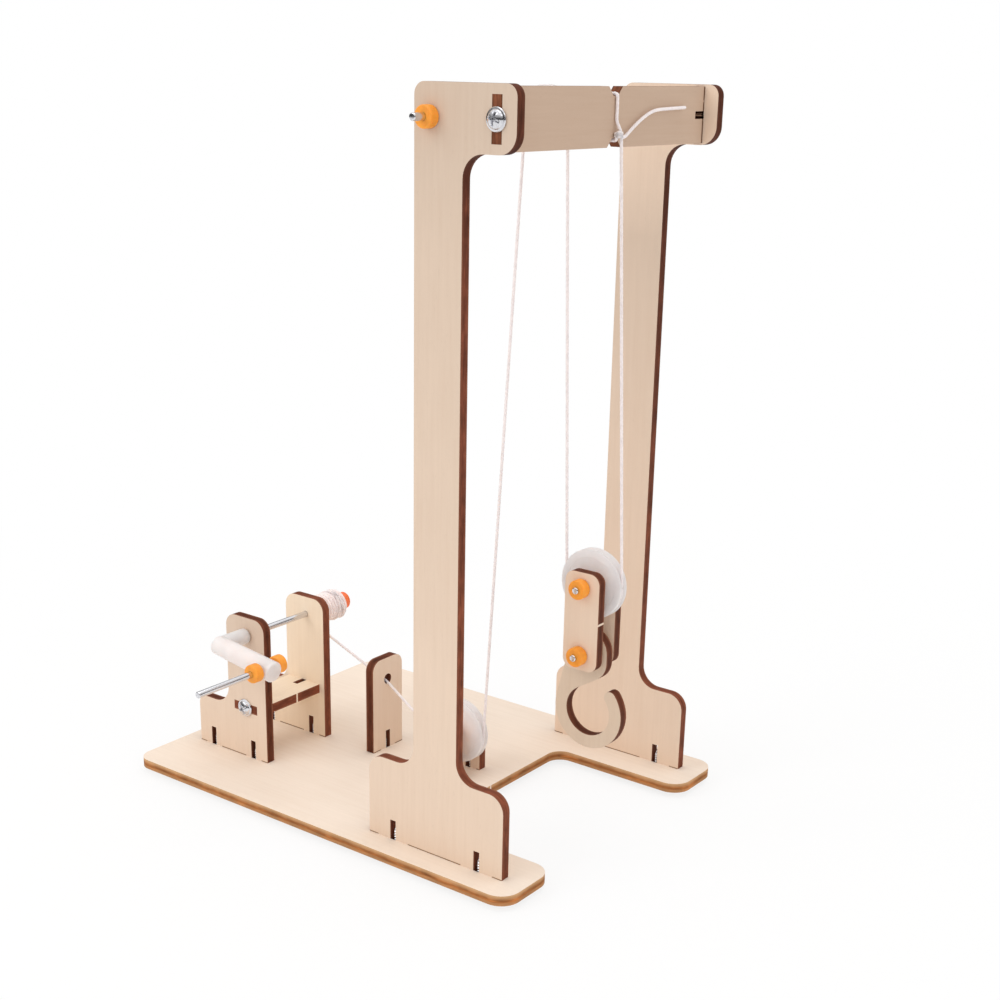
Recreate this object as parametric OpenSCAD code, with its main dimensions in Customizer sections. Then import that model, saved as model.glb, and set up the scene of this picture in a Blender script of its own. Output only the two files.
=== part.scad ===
// Hand-operated crane model: a laser-cut plywood gantry on a forked base.
// A crank winds a string that runs through a guide, under a fixed pulley,
// over a top pulley and round the pulley of a travelling hook block.
// Millimetres. X runs from the winch end to the hook end, Y across, Z up.
// The origin is the middle of the underside of the base plate.

/* [Plywood] */
// Thickness of every plywood sheet
ply_t = 3; // [2.6:0.1:3.4]
// Width of the narrow slots that the screws bite into
screw_slot_w = 2; // [1.8:0.1:2.4]

/* [Base plate] */
// Length of the base plate
base_l = 146.2; // [140:1:170]
// Width of the base plate
base_w = 112; // [108:1:130]
// Radius of the corners at the winch end
base_corner_r = 5; // [2:0.5:8]
// Depth of the fork that the hook reaches down through
fork_l = 46; // [42:1:50]
// Width of the fork
fork_w = 67.6; // [56:1:76]
// Radius of the ends of the two fork arms
arm_end_r = 6; // [2:0.5:8]
// Radius of the inner corners of the fork
fork_corner_r = 5; // [2:0.5:8]

/* [Uprights] */
// Distance over the outer faces of the two uprights
gantry_w = 96; // [90:1:100]
// Height of an upright above the base plate
upright_h = 205.3; // [180:0.1:230]
// Width of the stem of an upright
stem_w = 15; // [12:0.5:18]
// Distance from the hook end of the base plate to the middle of the stem
stem_inset = 31.1; // [28:0.1:34]
// Width of the foot
foot_w = 47.6; // [44:0.5:50]
// Height of the foot above the base plate
foot_h = 24.6; // [20:0.5:30]
// Radius of the outer corners of the foot
foot_corner_r = 5; // [2:0.5:8]
// Radius of the hollows between the foot and the stem
foot_fillet_r = 6; // [2:0.5:8]
// Width of the head that carries the crossbeam
head_w = 30.8; // [29:0.2:34]
// Height of the head
head_h = 16; // [15.4:0.2:20]
// Radius of the upper corners of the head
head_corner_r = 3; // [1:0.2:5]
// Radius of the lower corner of the head
head_lower_r = 5; // [2:0.5:6]
// Radius of the hollow under the head
head_fillet_r = 6; // [3:0.5:9]
// Width of the tabs of a foot
foot_tab_w = 11; // [7:0.2:13]
// Distance between the two tabs of a foot
foot_tab_pitch = 30; // [26:1:32]
// Reach of the upright screw slots above the base plate
foot_slot_h = 6; // [5:0.2:9]

/* [Crossbeam] */
// Height of the crossbeam
beam_h = 14.9; // [14:0.1:15.3]
// Height of the tab at each end of the crossbeam
beam_tab_h = 11.2; // [8:0.2:12.4]
// Distance of the middle of the crossbeam ahead of the middle of the stem
beam_ahead = 17.5; // [15:0.5:18.5]
// Depth of the slot that each beam screw bites into
beam_slot_l = 7.6; // [6:0.2:10]
// Half the width of the string notches at the edge of the beam
notch_half_w = 3.2; // [2:0.1:4]
// Half the width of the string notches at their floor
notch_floor_half_w = 1; // [0.8:0.1:1.4]
// Depth of the string notches
notch_d = 2.3; // [1.8:0.1:3]

/* [Winch frame] */
// Length of a winch plate at its foot
winch_foot_l = 30; // [26:0.2:34]
// Length of the raised part of a winch plate
winch_head_l = 16.3; // [14:0.1:18]
// Height of the step of a winch plate above the base plate
winch_step_h = 16; // [14:0.5:18]
// Height of a winch plate above the base plate
winch_h = 47; // [44:0.2:52]
// Distance from the winch end of the base plate to the winch plates
winch_inset = 5.9; // [4:0.1:8]
// Place of the outer face of the near winch plate across the base
winch_near_y = -33.8; // [-38:0.2:-31]
// Place of the face of the far winch plate that looks at the near one
winch_far_y = -7.3; // [-9:0.1:-7]
// Radius of the upper corners of a winch plate
winch_corner_r = 4; // [2:0.5:6]
// Radius of the corner of the step
winch_step_r = 3; // [1:0.5:5]
// Radius of the hollow in the step
winch_fillet_r = 6; // [3:0.5:8]
// Width of the tabs of the winch plates, the guide and the brackets
small_tab_w = 6.8; // [5:0.2:7.4]
// Distance between the two tabs of a winch plate
winch_tab_pitch = 17.8; // [15:0.2:20]
// Length of the shelf between the winch plates, along the base
shelf_l = 13.6; // [12:0.2:15]
// Distance from the front edge of the winch plates back to the middle of the shelf
shelf_inset = 8.9; // [8.3:0.1:9.3]
// Height of the underside of the shelf above the base plate
shelf_h = 15.2; // [14:0.1:20]
// Width of the tab at each end of the shelf
shelf_tab_w = 10; // [8:0.2:11]
// Depth of the slot that each shelf screw bites into
shelf_slot_l = 7.3; // [6:0.1:9]
// Height of the winch shaft above the base plate
winch_shaft_h = 41.2; // [38:0.2:42]
// Distance from the front edge of the winch plates back to the winch shaft
winch_shaft_inset = 7.6; // [6.8:0.2:8.8]

/* [Rods and bushings] */
// Diameter of the steel rods
rod_d = 2; // [1.6:0.1:2.4]
// Diameter of the orange bushings
bushing_d = 5.6; // [5:0.2:6.4]
// Length of the orange bushings
bushing_l = 3; // [2:0.1:3.4]
// Length of rod that shows beyond a bushing
rod_over = 0.7; // [0.4:0.1:3]
// Length of rod that shows beyond the bushings of the top shaft
top_rod_over = 4; // [1:0.5:6]
// Radial clearance of a rod that turns in its hole
running_gap = 0.05; // [0.02:0.01:0.09]
// Clearance between neighbouring pieces that move past each other
side_gap = 0.3; // [0.2:0.05:0.4]

/* [Crank] */
// Distance from the winch shaft to the handle rod
crank_r = 20; // [15:0.5:24]
// Slope of the crank arm below the level, in degrees
crank_slope = 7.8; // [0:0.1:20]
// Diameter of the crank arm
crank_arm_d = 6.2; // [5.6:0.2:7]
// Diameter of the hub sleeve of the crank
crank_hub_d = 5; // [4.6:0.2:6]
// Length of the hub sleeve, from the winch plate to the middle of the arm
crank_hub_l = 11; // [9:0.5:14]
// Length of the crank arm past the handle rod
crank_tip_l = 3.4; // [1.8:0.1:4]
// Length of the crank arm behind the winch shaft
crank_heel_l = 1; // [0:0.1:3]
// Length of the handle rod that the fingers hold
handle_l = 21; // [16:0.2:30]

/* [Spool] */
// Diameter of the spool core
spool_core_d = 7; // [6:0.2:8]
// Length of the spool core
spool_l = 12.2; // [12.2:0.2:14]
// Number of loops of string on the spool
spool_turns = 7; // [4:1:7]
// Distance between neighbouring loops of string
spool_pitch = 1.35; // [1.35:0.01:1.4]

/* [Pulleys] */
// Diameter of the bottom pulley and of the pulley in the hook block
pulley_d = 20; // [18:0.5:21]
// Diameter of the top pulley
top_pulley_d = 15; // [14:0.2:17.4]
// Thickness of the pulleys
pulley_t = 3; // [2.6:0.1:3.4]
// Depth of the pulley grooves
groove_d = 1.4; // [1.3:0.05:1.8]
// Thickness of the rim of a pulley at its edge
rim_t = 0.35; // [0.2:0.05:0.5]
// Width of the floor of the groove
groove_floor_w = 1.2; // [1:0.1:1.4]
// Distance from the inner end of the fork back to the bottom pulley
bottom_pulley_inset = 14; // [11:0.1:18]
// Height of the bottom pulley above the base plate
bottom_pulley_h = 14.2; // [12:0.1:17]
// Distance of the top pulley behind the middle of the stem
top_pulley_behind = 2.4; // [1:0.2:4]

/* [String guide and brackets] */
// Width of the guide plate
guide_w = 14; // [12:0.5:16]
// Height of the guide plate above the base plate
guide_h = 31; // [28:0.5:36]
// Place of the front face of the guide plate along the base
guide_x = -16.3; // [-22:0.2:-12]
// Radius of the upper corners of the guide plate
guide_corner_r = 3.5; // [2:0.5:6]
// Diameter of the hole in the guide plate
guide_hole_d = 3.4; // [3:0.1:4]
// Height of the guide hole above the base plate
guide_hole_h = 23.8; // [22:0.2:25]
// Width of the brackets of the bottom pulley
bracket_w = 9; // [8:0.5:12]
// Height of the brackets above the base plate
bracket_h = 17.5; // [17.5:0.5:24]
// Radius of the upper corners of the brackets
bracket_corner_r = 3; // [1:0.5:4]
// Gap between the two brackets
bracket_gap = 9; // [8:0.2:12]

/* [Hook block] */
// Distance of the hook block ahead of the middle of the crossbeam
block_ahead = 1; // [0:0.1:2.5]
// Height of the upper pin of the block above the base plate
block_pin_h = 72.2; // [66:0.1:80]
// Distance between the two pins of the block
block_pitch = 20; // [19:0.5:24]
// Width of the links
link_w = 11.4; // [9:0.2:13]
// Length of the links
link_l = 29; // [28:0.5:36]
// Radius of the corners of the links
link_corner_r = 3; // [1:0.5:4]
// Gap between the two links
link_gap = 5.8; // [5:0.1:6.4]
// Outer radius of the hook bow
hook_r = 11.3; // [10.5:0.1:12]
// Inner radius of the hook bow
hook_inner_r = 7.4; // [6.8:0.1:7.8]
// Radius of the lobe that hangs on the lower pin
hook_eye_r = 6.3; // [6:0.1:7]
// Length by which the lobe is drawn out towards the bow
hook_lobe_l = 2.6; // [1.5:0.1:3.5]
// Height from the middle of the hook bow to the lower pin
hook_drop = 18.4; // [18:0.1:20]
// Distance by which the bow stands ahead of the lower pin
hook_offset = 0.6; // [0:0.1:1]
// Angle at which the tip of the bow ends, above the level
hook_tip_angle = 38; // [34:1:46]
// Angle at which the neck leaves the inside of the bow
hook_neck_angle = 120; // [112:1:126]
// Angle at which the neck leaves the lobe, below the level
hook_flank_angle = 54; // [48:1:60]

/* [Screws] */
// Diameter of the washer face of a screw
screw_head_d = 5.8; // [5:0.1:6.4]
// Height of a screw head
screw_head_h = 1.8; // [1.4:0.1:2.4]
// Thickness of the washer face of a screw
screw_washer_t = 0.6; // [0.4:0.1:0.9]
// Diameter of the screw shank
screw_d = 1.9; // [1.6:0.05:1.95]
// Length of the screw shank
screw_l = 7; // [5.5:0.1:7.2]

/* [String] */
// Diameter of the string
string_d = 0.9; // [0.8:0.05:0.9]

/* [Hidden] */

// Colours of the stock
birch = [0.90, 0.79, 0.66];
steel = [0.72, 0.73, 0.75];
orange_plastic = [1.0, 0.6, 0.2];
white_plastic = [0.91, 0.88, 0.86];
cotton = [0.95, 0.93, 0.90];

// Shared helpers
overrun = 0.5;
arc_steps = 10;
bore_fn = 48;
round_fn = 96;
knot_fn = 24;
string_sides = 8;
winding_sides = 6;
loop_rings = 24;
string_r = string_d / 2;
groove_gap = 0.2;
rod_r = rod_d / 2;
rod_hole_r = rod_r + running_gap;
bushing_r = bushing_d / 2;
press_gap = 0.02;
snug_gap = 0.1;
seat_gap = 0.05;

// Levels and planes worked out from the driving sizes
base_top = ply_t;
upright_outer_y = gantry_w / 2;
upright_inner_y = upright_outer_y - ply_t;
head_top_z = base_top + upright_h;
head_mid_z = head_top_z - head_h / 2;
fork_x = base_l / 2 - fork_l;
stem_x = base_l / 2 - stem_inset;
beam_x = stem_x + beam_ahead;
top_pulley_x = stem_x - top_pulley_behind;
bottom_pulley_x = fork_x - bottom_pulley_inset;
block_x = beam_x + block_ahead;
stem_back_x = stem_x - stem_w / 2;
stem_front_x = stem_x + stem_w / 2;
head_front_x = stem_back_x + head_w;
beam_front_x = beam_x + ply_t / 2;
beam_back_x = beam_x - ply_t / 2;
winch_back_x = winch_inset - base_l / 2;
winch_front_x = winch_back_x + winch_foot_l;
winch_step_x = winch_front_x - winch_head_l;
winch_mid_x = winch_front_x - winch_foot_l / 2;
winch_shaft_x = winch_front_x - winch_shaft_inset;
shelf_x = winch_front_x - shelf_inset;
winch_far_back_y = winch_far_y + ply_t;
winch_shaft_z = base_top + winch_shaft_h;
shelf_z = base_top + shelf_h;
guide_back_x = guide_x - ply_t;
bottom_pulley_z = base_top + bottom_pulley_h;
upper_pin_z = base_top + block_pin_h;
lower_pin_z = upper_pin_z - block_pitch;
hook_mid_z = lower_pin_z - hook_drop;
crank_y = winch_near_y - crank_hub_l - side_gap;
handle_x = winch_shaft_x + crank_r * cos(crank_slope);
handle_z = winch_shaft_z - crank_r * sin(crank_slope);
link_outer_y = link_gap / 2 + ply_t;
pin_half_l = link_outer_y + seat_gap + bushing_l + rod_over;
bracket_outer_y = bracket_gap / 2 + ply_t;
bracket_shaft_half_l = bracket_outer_y + 2 * rod_over;
top_shaft_half_l = upright_outer_y + seat_gap + bushing_l + top_rod_over;
spool_start_y = winch_far_back_y + side_gap;
spool_end_y = spool_start_y + spool_l;
spool_wind_r = spool_core_d / 2 + snug_gap + string_r;
line_r = pulley_d / 2 - groove_d + groove_gap + string_r;
top_line_r = top_pulley_d / 2 - groove_d + groove_gap + string_r;

// An outline given as corners [x, y, radius], each corner rounded by its own radius
function unit(v) = v / norm(v);
function place(c) = [c[0], c[1]];
function wrap(a) = a > 180 ? a - 360 : a < -180 ? a + 360 : a;
function corner(before, at, after, r) =
    let (u = unit(before - at), v = unit(after - at), half = acos(max(-1, min(1, u * v))) / 2)
    let (mid = at + unit(u + v) * r / sin(half))
    let (start = at + u * r / tan(half), stop = at + v * r / tan(half))
    let (a0 = atan2(start[1] - mid[1], start[0] - mid[0]), a1 = atan2(stop[1] - mid[1], stop[0] - mid[0]))
    [for (i = [0:arc_steps]) let (a = a0 + wrap(a1 - a0) * i / arc_steps) mid + r * [cos(a), sin(a)]];
function rounded(corners) = let (n = len(corners)) [for (i = [0:n - 1])
    each corners[i][2] > 0
        ? corner(
            place(corners[(i + n - 1) % n]), place(corners[i]), place(corners[(i + 1) % n]), corners[i][2])
        : [place(corners[i])]];

// A plate that stands across the base: its outline lies in X and Z, its thickness runs along Y from y0
module plate_along_x(y0) {
    translate([0, y0 + ply_t, 0]) rotate([90, 0, 0]) linear_extrude(ply_t) children();
}
// A plate whose outline lies in Y and Z, its thickness runs along X from x0
module plate_along_y(x0) {
    translate([x0, 0, 0]) rotate([90, 0, 90]) linear_extrude(ply_t) children();
}
// A rod, bushing or hole along Y from y0 to y1
module along_y(x, z, y0, y1, r, fn = bore_fn) {
    translate([x, y1, z]) rotate([90, 0, 0]) cylinder(r = r, h = y1 - y0, $fn = fn);
}
// A bushing pressed on a rod along Y
module bushing_y(x, z, y0, r = bushing_r, l = bushing_l) {
    difference() {
        along_y(x, z, y0, y0 + l, r, round_fn);
        along_y(x, z, y0 - overrun, y0 + l + overrun, rod_r + press_gap);
    }
}
// A washer-head screw that points up, the underside of its washer at the origin
module screw() {
    dome_r = screw_head_d / 2 - screw_washer_t;
    recess_share = 0.7;
    recess_l = 2 * dome_r * recess_share;
    recess_w = screw_washer_t;
    recess_d = screw_head_h - 2 * screw_washer_t;
    difference() {
        union() {
            cylinder(d = screw_d, h = screw_l, $fn = bore_fn);
            translate([0, 0, -screw_washer_t]) cylinder(d = screw_head_d, h = screw_washer_t, $fn = bore_fn);
            translate([0, 0, -screw_head_h]) cylinder(r = dome_r, h = screw_head_h, $fn = bore_fn);
        }
        for (a = [0, 90]) rotate([0, 0, a])
            translate([-recess_l / 2, -recess_w / 2, -screw_head_h - overrun])
                cube([recess_l, recess_w, recess_d + overrun]);
    }
}

// Sweeps the string along a path, with its rings kept upright on the Y direction
function path_dir(p, i) = unit(p[min(i + 1, len(p) - 1)] - p[max(i - 1, 0)]);
function ring(p, d, sides) =
    let (s = unit([0, 1, 0] - d * d[1]), t = cross(d, s))
    [for (k = [0:sides - 1]) p + string_r * (cos(360 * k / sides) * s + sin(360 * k / sides) * t)];
module tube(path, sides = string_sides) {
    n = len(path);
    points = [for (i = [0:n - 1]) each ring(path[i], path_dir(path, i), sides)];
    walls = [for (i = [0:n - 2], k = [0:sides - 1])
        let (a = i * sides + k, b = i * sides + (k + 1) % sides)
        each [[a, a + sides, b], [b, a + sides, b + sides]]];
    first = [for (k = [1:sides - 2]) [0, k, k + 1]];
    last = [for (k = [1:sides - 2]) [(n - 1) * sides, (n - 1) * sides + k + 1, (n - 1) * sides + k]];
    polyhedron(points = points, faces = concat(walls, first, last));
}
// Points on an arc round an axis along Y, from angle a0 to a1
function arc_y(x, y, z, r, a0, a1, steps) =
    [for (i = [0:steps]) let (a = a0 + (a1 - a0) * i / steps) [x + r * cos(a), y, z + r * sin(a)]];

// Directions of the straight stretches of string, as angles in the X and Z plane
function heading(from, to) = atan2(to[1] - from[1], to[0] - from[0]);
reel_at = [winch_shaft_x, winch_shaft_z];
guide_at = [guide_x, base_top + guide_hole_h - guide_hole_d / 2 + string_r + snug_gap];
guide_slope_share = 0.4;
guide_back_at = guide_at + [-ply_t, ply_t * guide_slope_share];
bottom_at = [bottom_pulley_x, bottom_pulley_z];
top_at = [top_pulley_x, head_mid_z];
block_at = [block_x, upper_pin_z];
knot_share = 1.4;
knot_r = string_d * knot_share;
knot_drop_share = 0.295;
knot_side_share = 0.7;
knot_at = [beam_front_x + snug_gap + knot_r, head_mid_z - beam_h * knot_drop_share];
knot_foot_at = knot_at + [knot_r * knot_side_share, -knot_r - press_gap];
reel_angle = heading(reel_at, guide_back_at) + asin(spool_wind_r / norm(guide_back_at - reel_at));
lead_angle = heading(guide_at, bottom_at) - asin(line_r / norm(bottom_at - guide_at));
rise_angle = heading(bottom_at, top_at) + asin((line_r + top_line_r) / norm(top_at - bottom_at));
fall_angle = heading(top_at, block_at) - asin((line_r + top_line_r) / norm(block_at - top_at));
lift_angle = heading(block_at, knot_foot_at) + asin(line_r / norm(knot_foot_at - block_at));
lead_y = spool_start_y + string_r + snug_gap;
wind_start_y = lead_y + spool_pitch;

// The laser-cut plates
module base_plate() {
    outline = rounded([
        [-base_l / 2, -base_w / 2, base_corner_r],
        [base_l / 2, -base_w / 2, arm_end_r],
        [base_l / 2, -fork_w / 2, arm_end_r],
        [fork_x, -fork_w / 2, fork_corner_r],
        [fork_x, fork_w / 2, fork_corner_r],
        [base_l / 2, fork_w / 2, arm_end_r],
        [base_l / 2, base_w / 2, arm_end_r],
        [-base_l / 2, base_w / 2, base_corner_r]]);
    color(birch) difference() {
        linear_extrude(ply_t) polygon(outline);
        for (s = [-1, 1], t = [-1, 1])
            mortise_x(stem_x + t * foot_tab_pitch / 2, s * (upright_inner_y + ply_t / 2), foot_tab_w);
        for (y = [winch_near_y + ply_t / 2, winch_far_y + ply_t / 2], t = [-1, 1])
            mortise_x(winch_mid_x + t * winch_tab_pitch / 2, y, small_tab_w);
        for (s = [-1, 1]) mortise_x(bottom_pulley_x, s * (bracket_gap + ply_t) / 2, small_tab_w);
        translate([guide_x - ply_t / 2, 0, 0]) rotate([0, 0, 90]) mortise_x(0, 0, small_tab_w);
    }
}
module mortise_x(x, y, w) {
    translate([x - w / 2, y - ply_t / 2, -overrun]) cube([w, ply_t, ply_t + 2 * overrun]);
}
// Tabs that fill the mortises, drawn on a plate outline whose feet are at [x, width]
module tabs(places, w) {
    for (x = places) translate([x - w / 2, 0]) square([w, ply_t]);
}
module screw_slots(places, reach) {
    for (x = places)
        translate([x - screw_slot_w / 2, -overrun]) square([screw_slot_w, ply_t + reach + overrun]);
}
module upright_outline() {
    foot_back_x = stem_x - foot_w / 2;
    foot_front_x = stem_x + foot_w / 2;
    foot_top_z = base_top + foot_h;
    head_low_z = head_top_z - head_h;
    places = [for (t = [-1, 1]) stem_x + t * foot_tab_pitch / 2];
    difference() {
        union() {
            polygon(rounded([
                [foot_back_x, base_top, 0],
                [foot_front_x, base_top, 0],
                [foot_front_x, foot_top_z, foot_corner_r],
                [stem_front_x, foot_top_z, foot_fillet_r],
                [stem_front_x, head_low_z, head_fillet_r],
                [head_front_x, head_low_z, head_lower_r],
                [head_front_x, head_top_z, head_corner_r],
                [stem_back_x, head_top_z, head_corner_r],
                [stem_back_x, foot_top_z, foot_fillet_r],
                [foot_back_x, foot_top_z, foot_corner_r]]));
            tabs(places, foot_tab_w);
        }
        screw_slots(places, foot_slot_h);
        translate([beam_back_x, head_mid_z - beam_tab_h / 2]) square([ply_t, beam_tab_h]);
    }
}
module upright(y0) {
    color(birch) difference() {
        plate_along_x(y0) upright_outline();
        along_y(top_pulley_x, head_mid_z, y0 - overrun, y0 + ply_t + overrun, rod_hole_r);
    }
}
module near_upright() {
    upright(-upright_outer_y);
}
module far_upright() {
    upright(upright_inner_y);
}
module crossbeam() {
    half_h = beam_h / 2;
    color(birch) plate_along_y(beam_back_x) translate([0, head_mid_z]) difference() {
        union() {
            translate([-upright_inner_y, -half_h]) square([2 * upright_inner_y, beam_h]);
            translate([-upright_outer_y, -beam_tab_h / 2]) square([gantry_w, beam_tab_h]);
        }
        for (s = [-1, 1]) {
            scale([1, s]) polygon([
                [-notch_half_w, half_h + overrun],
                [-notch_half_w, half_h],
                [-notch_floor_half_w, half_h - notch_d],
                [notch_floor_half_w, half_h - notch_d],
                [notch_half_w, half_h],
                [notch_half_w, half_h + overrun]]);
            translate([s * (upright_outer_y - beam_slot_l / 2 + overrun / 2), 0])
                square([beam_slot_l + overrun, screw_slot_w], center = true);
        }
    }
}
module winch_plate(y0) {
    top_z = base_top + winch_h;
    step_z = base_top + winch_step_h;
    places = [for (t = [-1, 1]) winch_mid_x + t * winch_tab_pitch / 2];
    color(birch) difference() {
        plate_along_x(y0) difference() {
            union() {
                polygon(rounded([
                    [winch_back_x, base_top, 0],
                    [winch_front_x, base_top, 0],
                    [winch_front_x, top_z, winch_corner_r],
                    [winch_step_x, top_z, winch_corner_r],
                    [winch_step_x, step_z, winch_fillet_r],
                    [winch_back_x, step_z, winch_step_r]]));
                tabs(places, small_tab_w);
            }
            screw_slots(places, foot_slot_h);
            translate([shelf_x - shelf_tab_w / 2, shelf_z]) square([shelf_tab_w, ply_t]);
        }
        along_y(winch_shaft_x, winch_shaft_z, y0 - overrun, y0 + ply_t + overrun, rod_hole_r);
    }
}
module winch_near_plate() {
    winch_plate(winch_near_y);
}
module winch_far_plate() {
    winch_plate(winch_far_y);
}
module winch_shelf() {
    inner_y = winch_near_y + ply_t;
    span = winch_far_back_y - winch_near_y;
    color(birch) translate([shelf_x, winch_near_y, shelf_z]) linear_extrude(ply_t) difference() {
        union() {
            translate([-shelf_l / 2, ply_t]) square([shelf_l, winch_far_y - inner_y]);
            translate([-shelf_tab_w / 2, 0]) square([shelf_tab_w, span]);
        }
        translate([-screw_slot_w / 2, -overrun]) square([screw_slot_w, shelf_slot_l + overrun]);
        translate([-screw_slot_w / 2, span - shelf_slot_l]) square([screw_slot_w, shelf_slot_l + overrun]);
    }
}
module guide_plate() {
    top_z = base_top + guide_h;
    color(birch) difference() {
        plate_along_y(guide_back_x) difference() {
            union() {
                polygon(rounded([
                    [-guide_w / 2, base_top, 0],
                    [guide_w / 2, base_top, 0],
                    [guide_w / 2, top_z, guide_corner_r],
                    [-guide_w / 2, top_z, guide_corner_r]]));
                tabs([0], small_tab_w);
            }
            screw_slots([0], foot_slot_h);
        }
        translate([guide_back_x - overrun, 0, base_top + guide_hole_h]) rotate([0, 90, 0])
            cylinder(d = guide_hole_d, h = ply_t + 2 * overrun, $fn = bore_fn);
    }
}
module bracket(y0) {
    // The screw slot stays below the axle hole, with some wood between them
    slot_h = min(foot_slot_h, bottom_pulley_h - rod_d * 2);
    top_z = base_top + bracket_h;
    left_x = bottom_pulley_x - bracket_w / 2;
    right_x = bottom_pulley_x + bracket_w / 2;
    color(birch) difference() {
        plate_along_x(y0) difference() {
            union() {
                polygon(rounded([
                    [left_x, base_top, 0],
                    [right_x, base_top, 0],
                    [right_x, top_z, bracket_corner_r],
                    [left_x, top_z, bracket_corner_r]]));
                tabs([bottom_pulley_x], small_tab_w);
            }
            screw_slots([bottom_pulley_x], slot_h);
        }
        along_y(bottom_pulley_x, bottom_pulley_z, y0 - overrun, y0 + ply_t + overrun, rod_r + press_gap);
    }
}
module near_bracket() {
    bracket(-bracket_outer_y);
}
module far_bracket() {
    bracket(bracket_gap / 2);
}

// Screws
module base_screws() {
    foot_places = [for (s = [-1, 1], t = [-1, 1])
        [stem_x + t * foot_tab_pitch / 2, s * (upright_inner_y + ply_t / 2)]];
    winch_places = [for (y = [winch_near_y, winch_far_y], t = [-1, 1])
        [winch_mid_x + t * winch_tab_pitch / 2, y + ply_t / 2]];
    bracket_places = [for (s = [-1, 1]) [bottom_pulley_x, s * (bracket_gap + ply_t) / 2]];
    guide_places = [[guide_x - ply_t / 2, 0]];
    color(steel) for (p = concat(foot_places, winch_places, bracket_places, guide_places))
        translate([p[0], p[1], 0]) screw();
}
module beam_screws() {
    color(steel) for (s = [-1, 1])
        translate([beam_x, s * upright_outer_y, head_mid_z]) rotate([s * 90, 0, 0]) screw();
}
module shelf_screws() {
    mid_z = shelf_z + ply_t / 2;
    color(steel) {
        translate([shelf_x, winch_near_y, mid_z]) rotate([-90, 0, 0]) screw();
        translate([shelf_x, winch_far_back_y, mid_z]) rotate([90, 0, 0]) screw();
    }
}

// Pulleys turn on their rods; a hub as wide as asked keeps them in the middle
module pulley(d, hub_w) {
    r = d / 2;
    half_t = pulley_t / 2;
    half_hub = hub_w / 2;
    rotate([90, 0, 0]) rotate_extrude($fn = round_fn) polygon([
        [rod_hole_r, -half_hub],
        [bushing_r, -half_hub],
        [bushing_r, -half_t],
        [r, -half_t],
        [r, rim_t - half_t],
        [r - groove_d, -groove_floor_w / 2],
        [r - groove_d, groove_floor_w / 2],
        [r, half_t - rim_t],
        [r, half_t],
        [bushing_r, half_t],
        [bushing_r, half_hub],
        [rod_hole_r, half_hub]]);
}
module bottom_pulley() {
    color(white_plastic) translate([bottom_pulley_x, 0, bottom_pulley_z]) pulley(pulley_d, pulley_t);
}
module top_pulley() {
    color(white_plastic) translate([top_pulley_x, 0, head_mid_z]) pulley(top_pulley_d, pulley_t);
}
module block_pulley() {
    color(white_plastic) translate([block_x, 0, upper_pin_z]) pulley(pulley_d, link_gap - 2 * side_gap);
}

// Rods of the frame and what sits on them
module bracket_shaft() {
    color(steel)
        along_y(bottom_pulley_x, bottom_pulley_z, -bracket_shaft_half_l, bracket_shaft_half_l, rod_r);
}
module bracket_bushings() {
    start = pulley_t / 2 + side_gap;
    l = bracket_gap / 2 - seat_gap - start;
    color(orange_plastic) for (y0 = [start, -start - l])
        bushing_y(bottom_pulley_x, bottom_pulley_z, y0, bushing_r, l);
}
module top_shaft() {
    color(steel) along_y(top_pulley_x, head_mid_z, -top_shaft_half_l, top_shaft_half_l, rod_r);
}
module top_bushings() {
    start = upright_outer_y + seat_gap;
    color(orange_plastic) for (y0 = [start, -start - bushing_l]) bushing_y(top_pulley_x, head_mid_z, y0);
}
module top_collars() {
    start = pulley_t / 2 + side_gap;
    color(orange_plastic) for (y0 = [start, -start - bushing_l]) bushing_y(top_pulley_x, head_mid_z, y0);
}

// The winch: rod, crank, spool and its end bushing turn together
module winch_shaft() {
    color(steel) along_y(winch_shaft_x, winch_shaft_z, crank_y + rod_r,
        spool_end_y + seat_gap + bushing_l + rod_over, rod_r);
}
module crank() {
    arm_r = crank_arm_d / 2;
    color(white_plastic) difference() {
        union() {
            along_y(winch_shaft_x, winch_shaft_z,
                crank_y, winch_near_y - side_gap, crank_hub_d / 2, round_fn);
            translate([winch_shaft_x, crank_y, winch_shaft_z]) rotate([0, 90 + crank_slope, 0])
                translate([0, 0, -crank_heel_l])
                    cylinder(r = arm_r, h = crank_heel_l + crank_r + crank_tip_l, $fn = round_fn);
        }
        along_y(winch_shaft_x, winch_shaft_z, crank_y + rod_r - side_gap, winch_near_y, rod_r + press_gap);
        along_y(handle_x, handle_z, crank_y - arm_r - overrun, crank_y + arm_r + overrun, rod_hole_r);
    }
}
module spool_core() {
    color(white_plastic) bushing_y(winch_shaft_x, winch_shaft_z, spool_start_y, spool_core_d / 2, spool_l);
}
// The loops lie beside the string that comes in from the guide, and end in a short straight tail
function wind_point(turns) =
    [winch_shaft_x + spool_wind_r * cos(reel_angle - 90 - 360 * turns),
     wind_start_y + spool_pitch * turns,
     winch_shaft_z + spool_wind_r * sin(reel_angle - 90 - 360 * turns)];
winding_loops = [for (i = [0:spool_turns * loop_rings]) wind_point(i / loop_rings)];
winding_path = concat(
    [winding_loops[0] + string_d * [cos(reel_angle), 0, sin(reel_angle)]],
    winding_loops,
    [winding_loops[spool_turns * loop_rings] - string_d * [cos(reel_angle), 0, sin(reel_angle)]]);
loop_gap = min([for (i = [0:(spool_turns - 1) * loop_rings], j = [loop_rings - 3:loop_rings + 3])
    if (i + j < len(winding_loops)) norm(winding_loops[i + j] - winding_loops[i])]) - string_d;
echo(least_gap_between_loops = loop_gap);
module spool_winding() {
    color(cotton) tube(winding_path, winding_sides);
}
module spool_bushing() {
    color(orange_plastic) bushing_y(winch_shaft_x, winch_shaft_z, spool_end_y + seat_gap);
}

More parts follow.
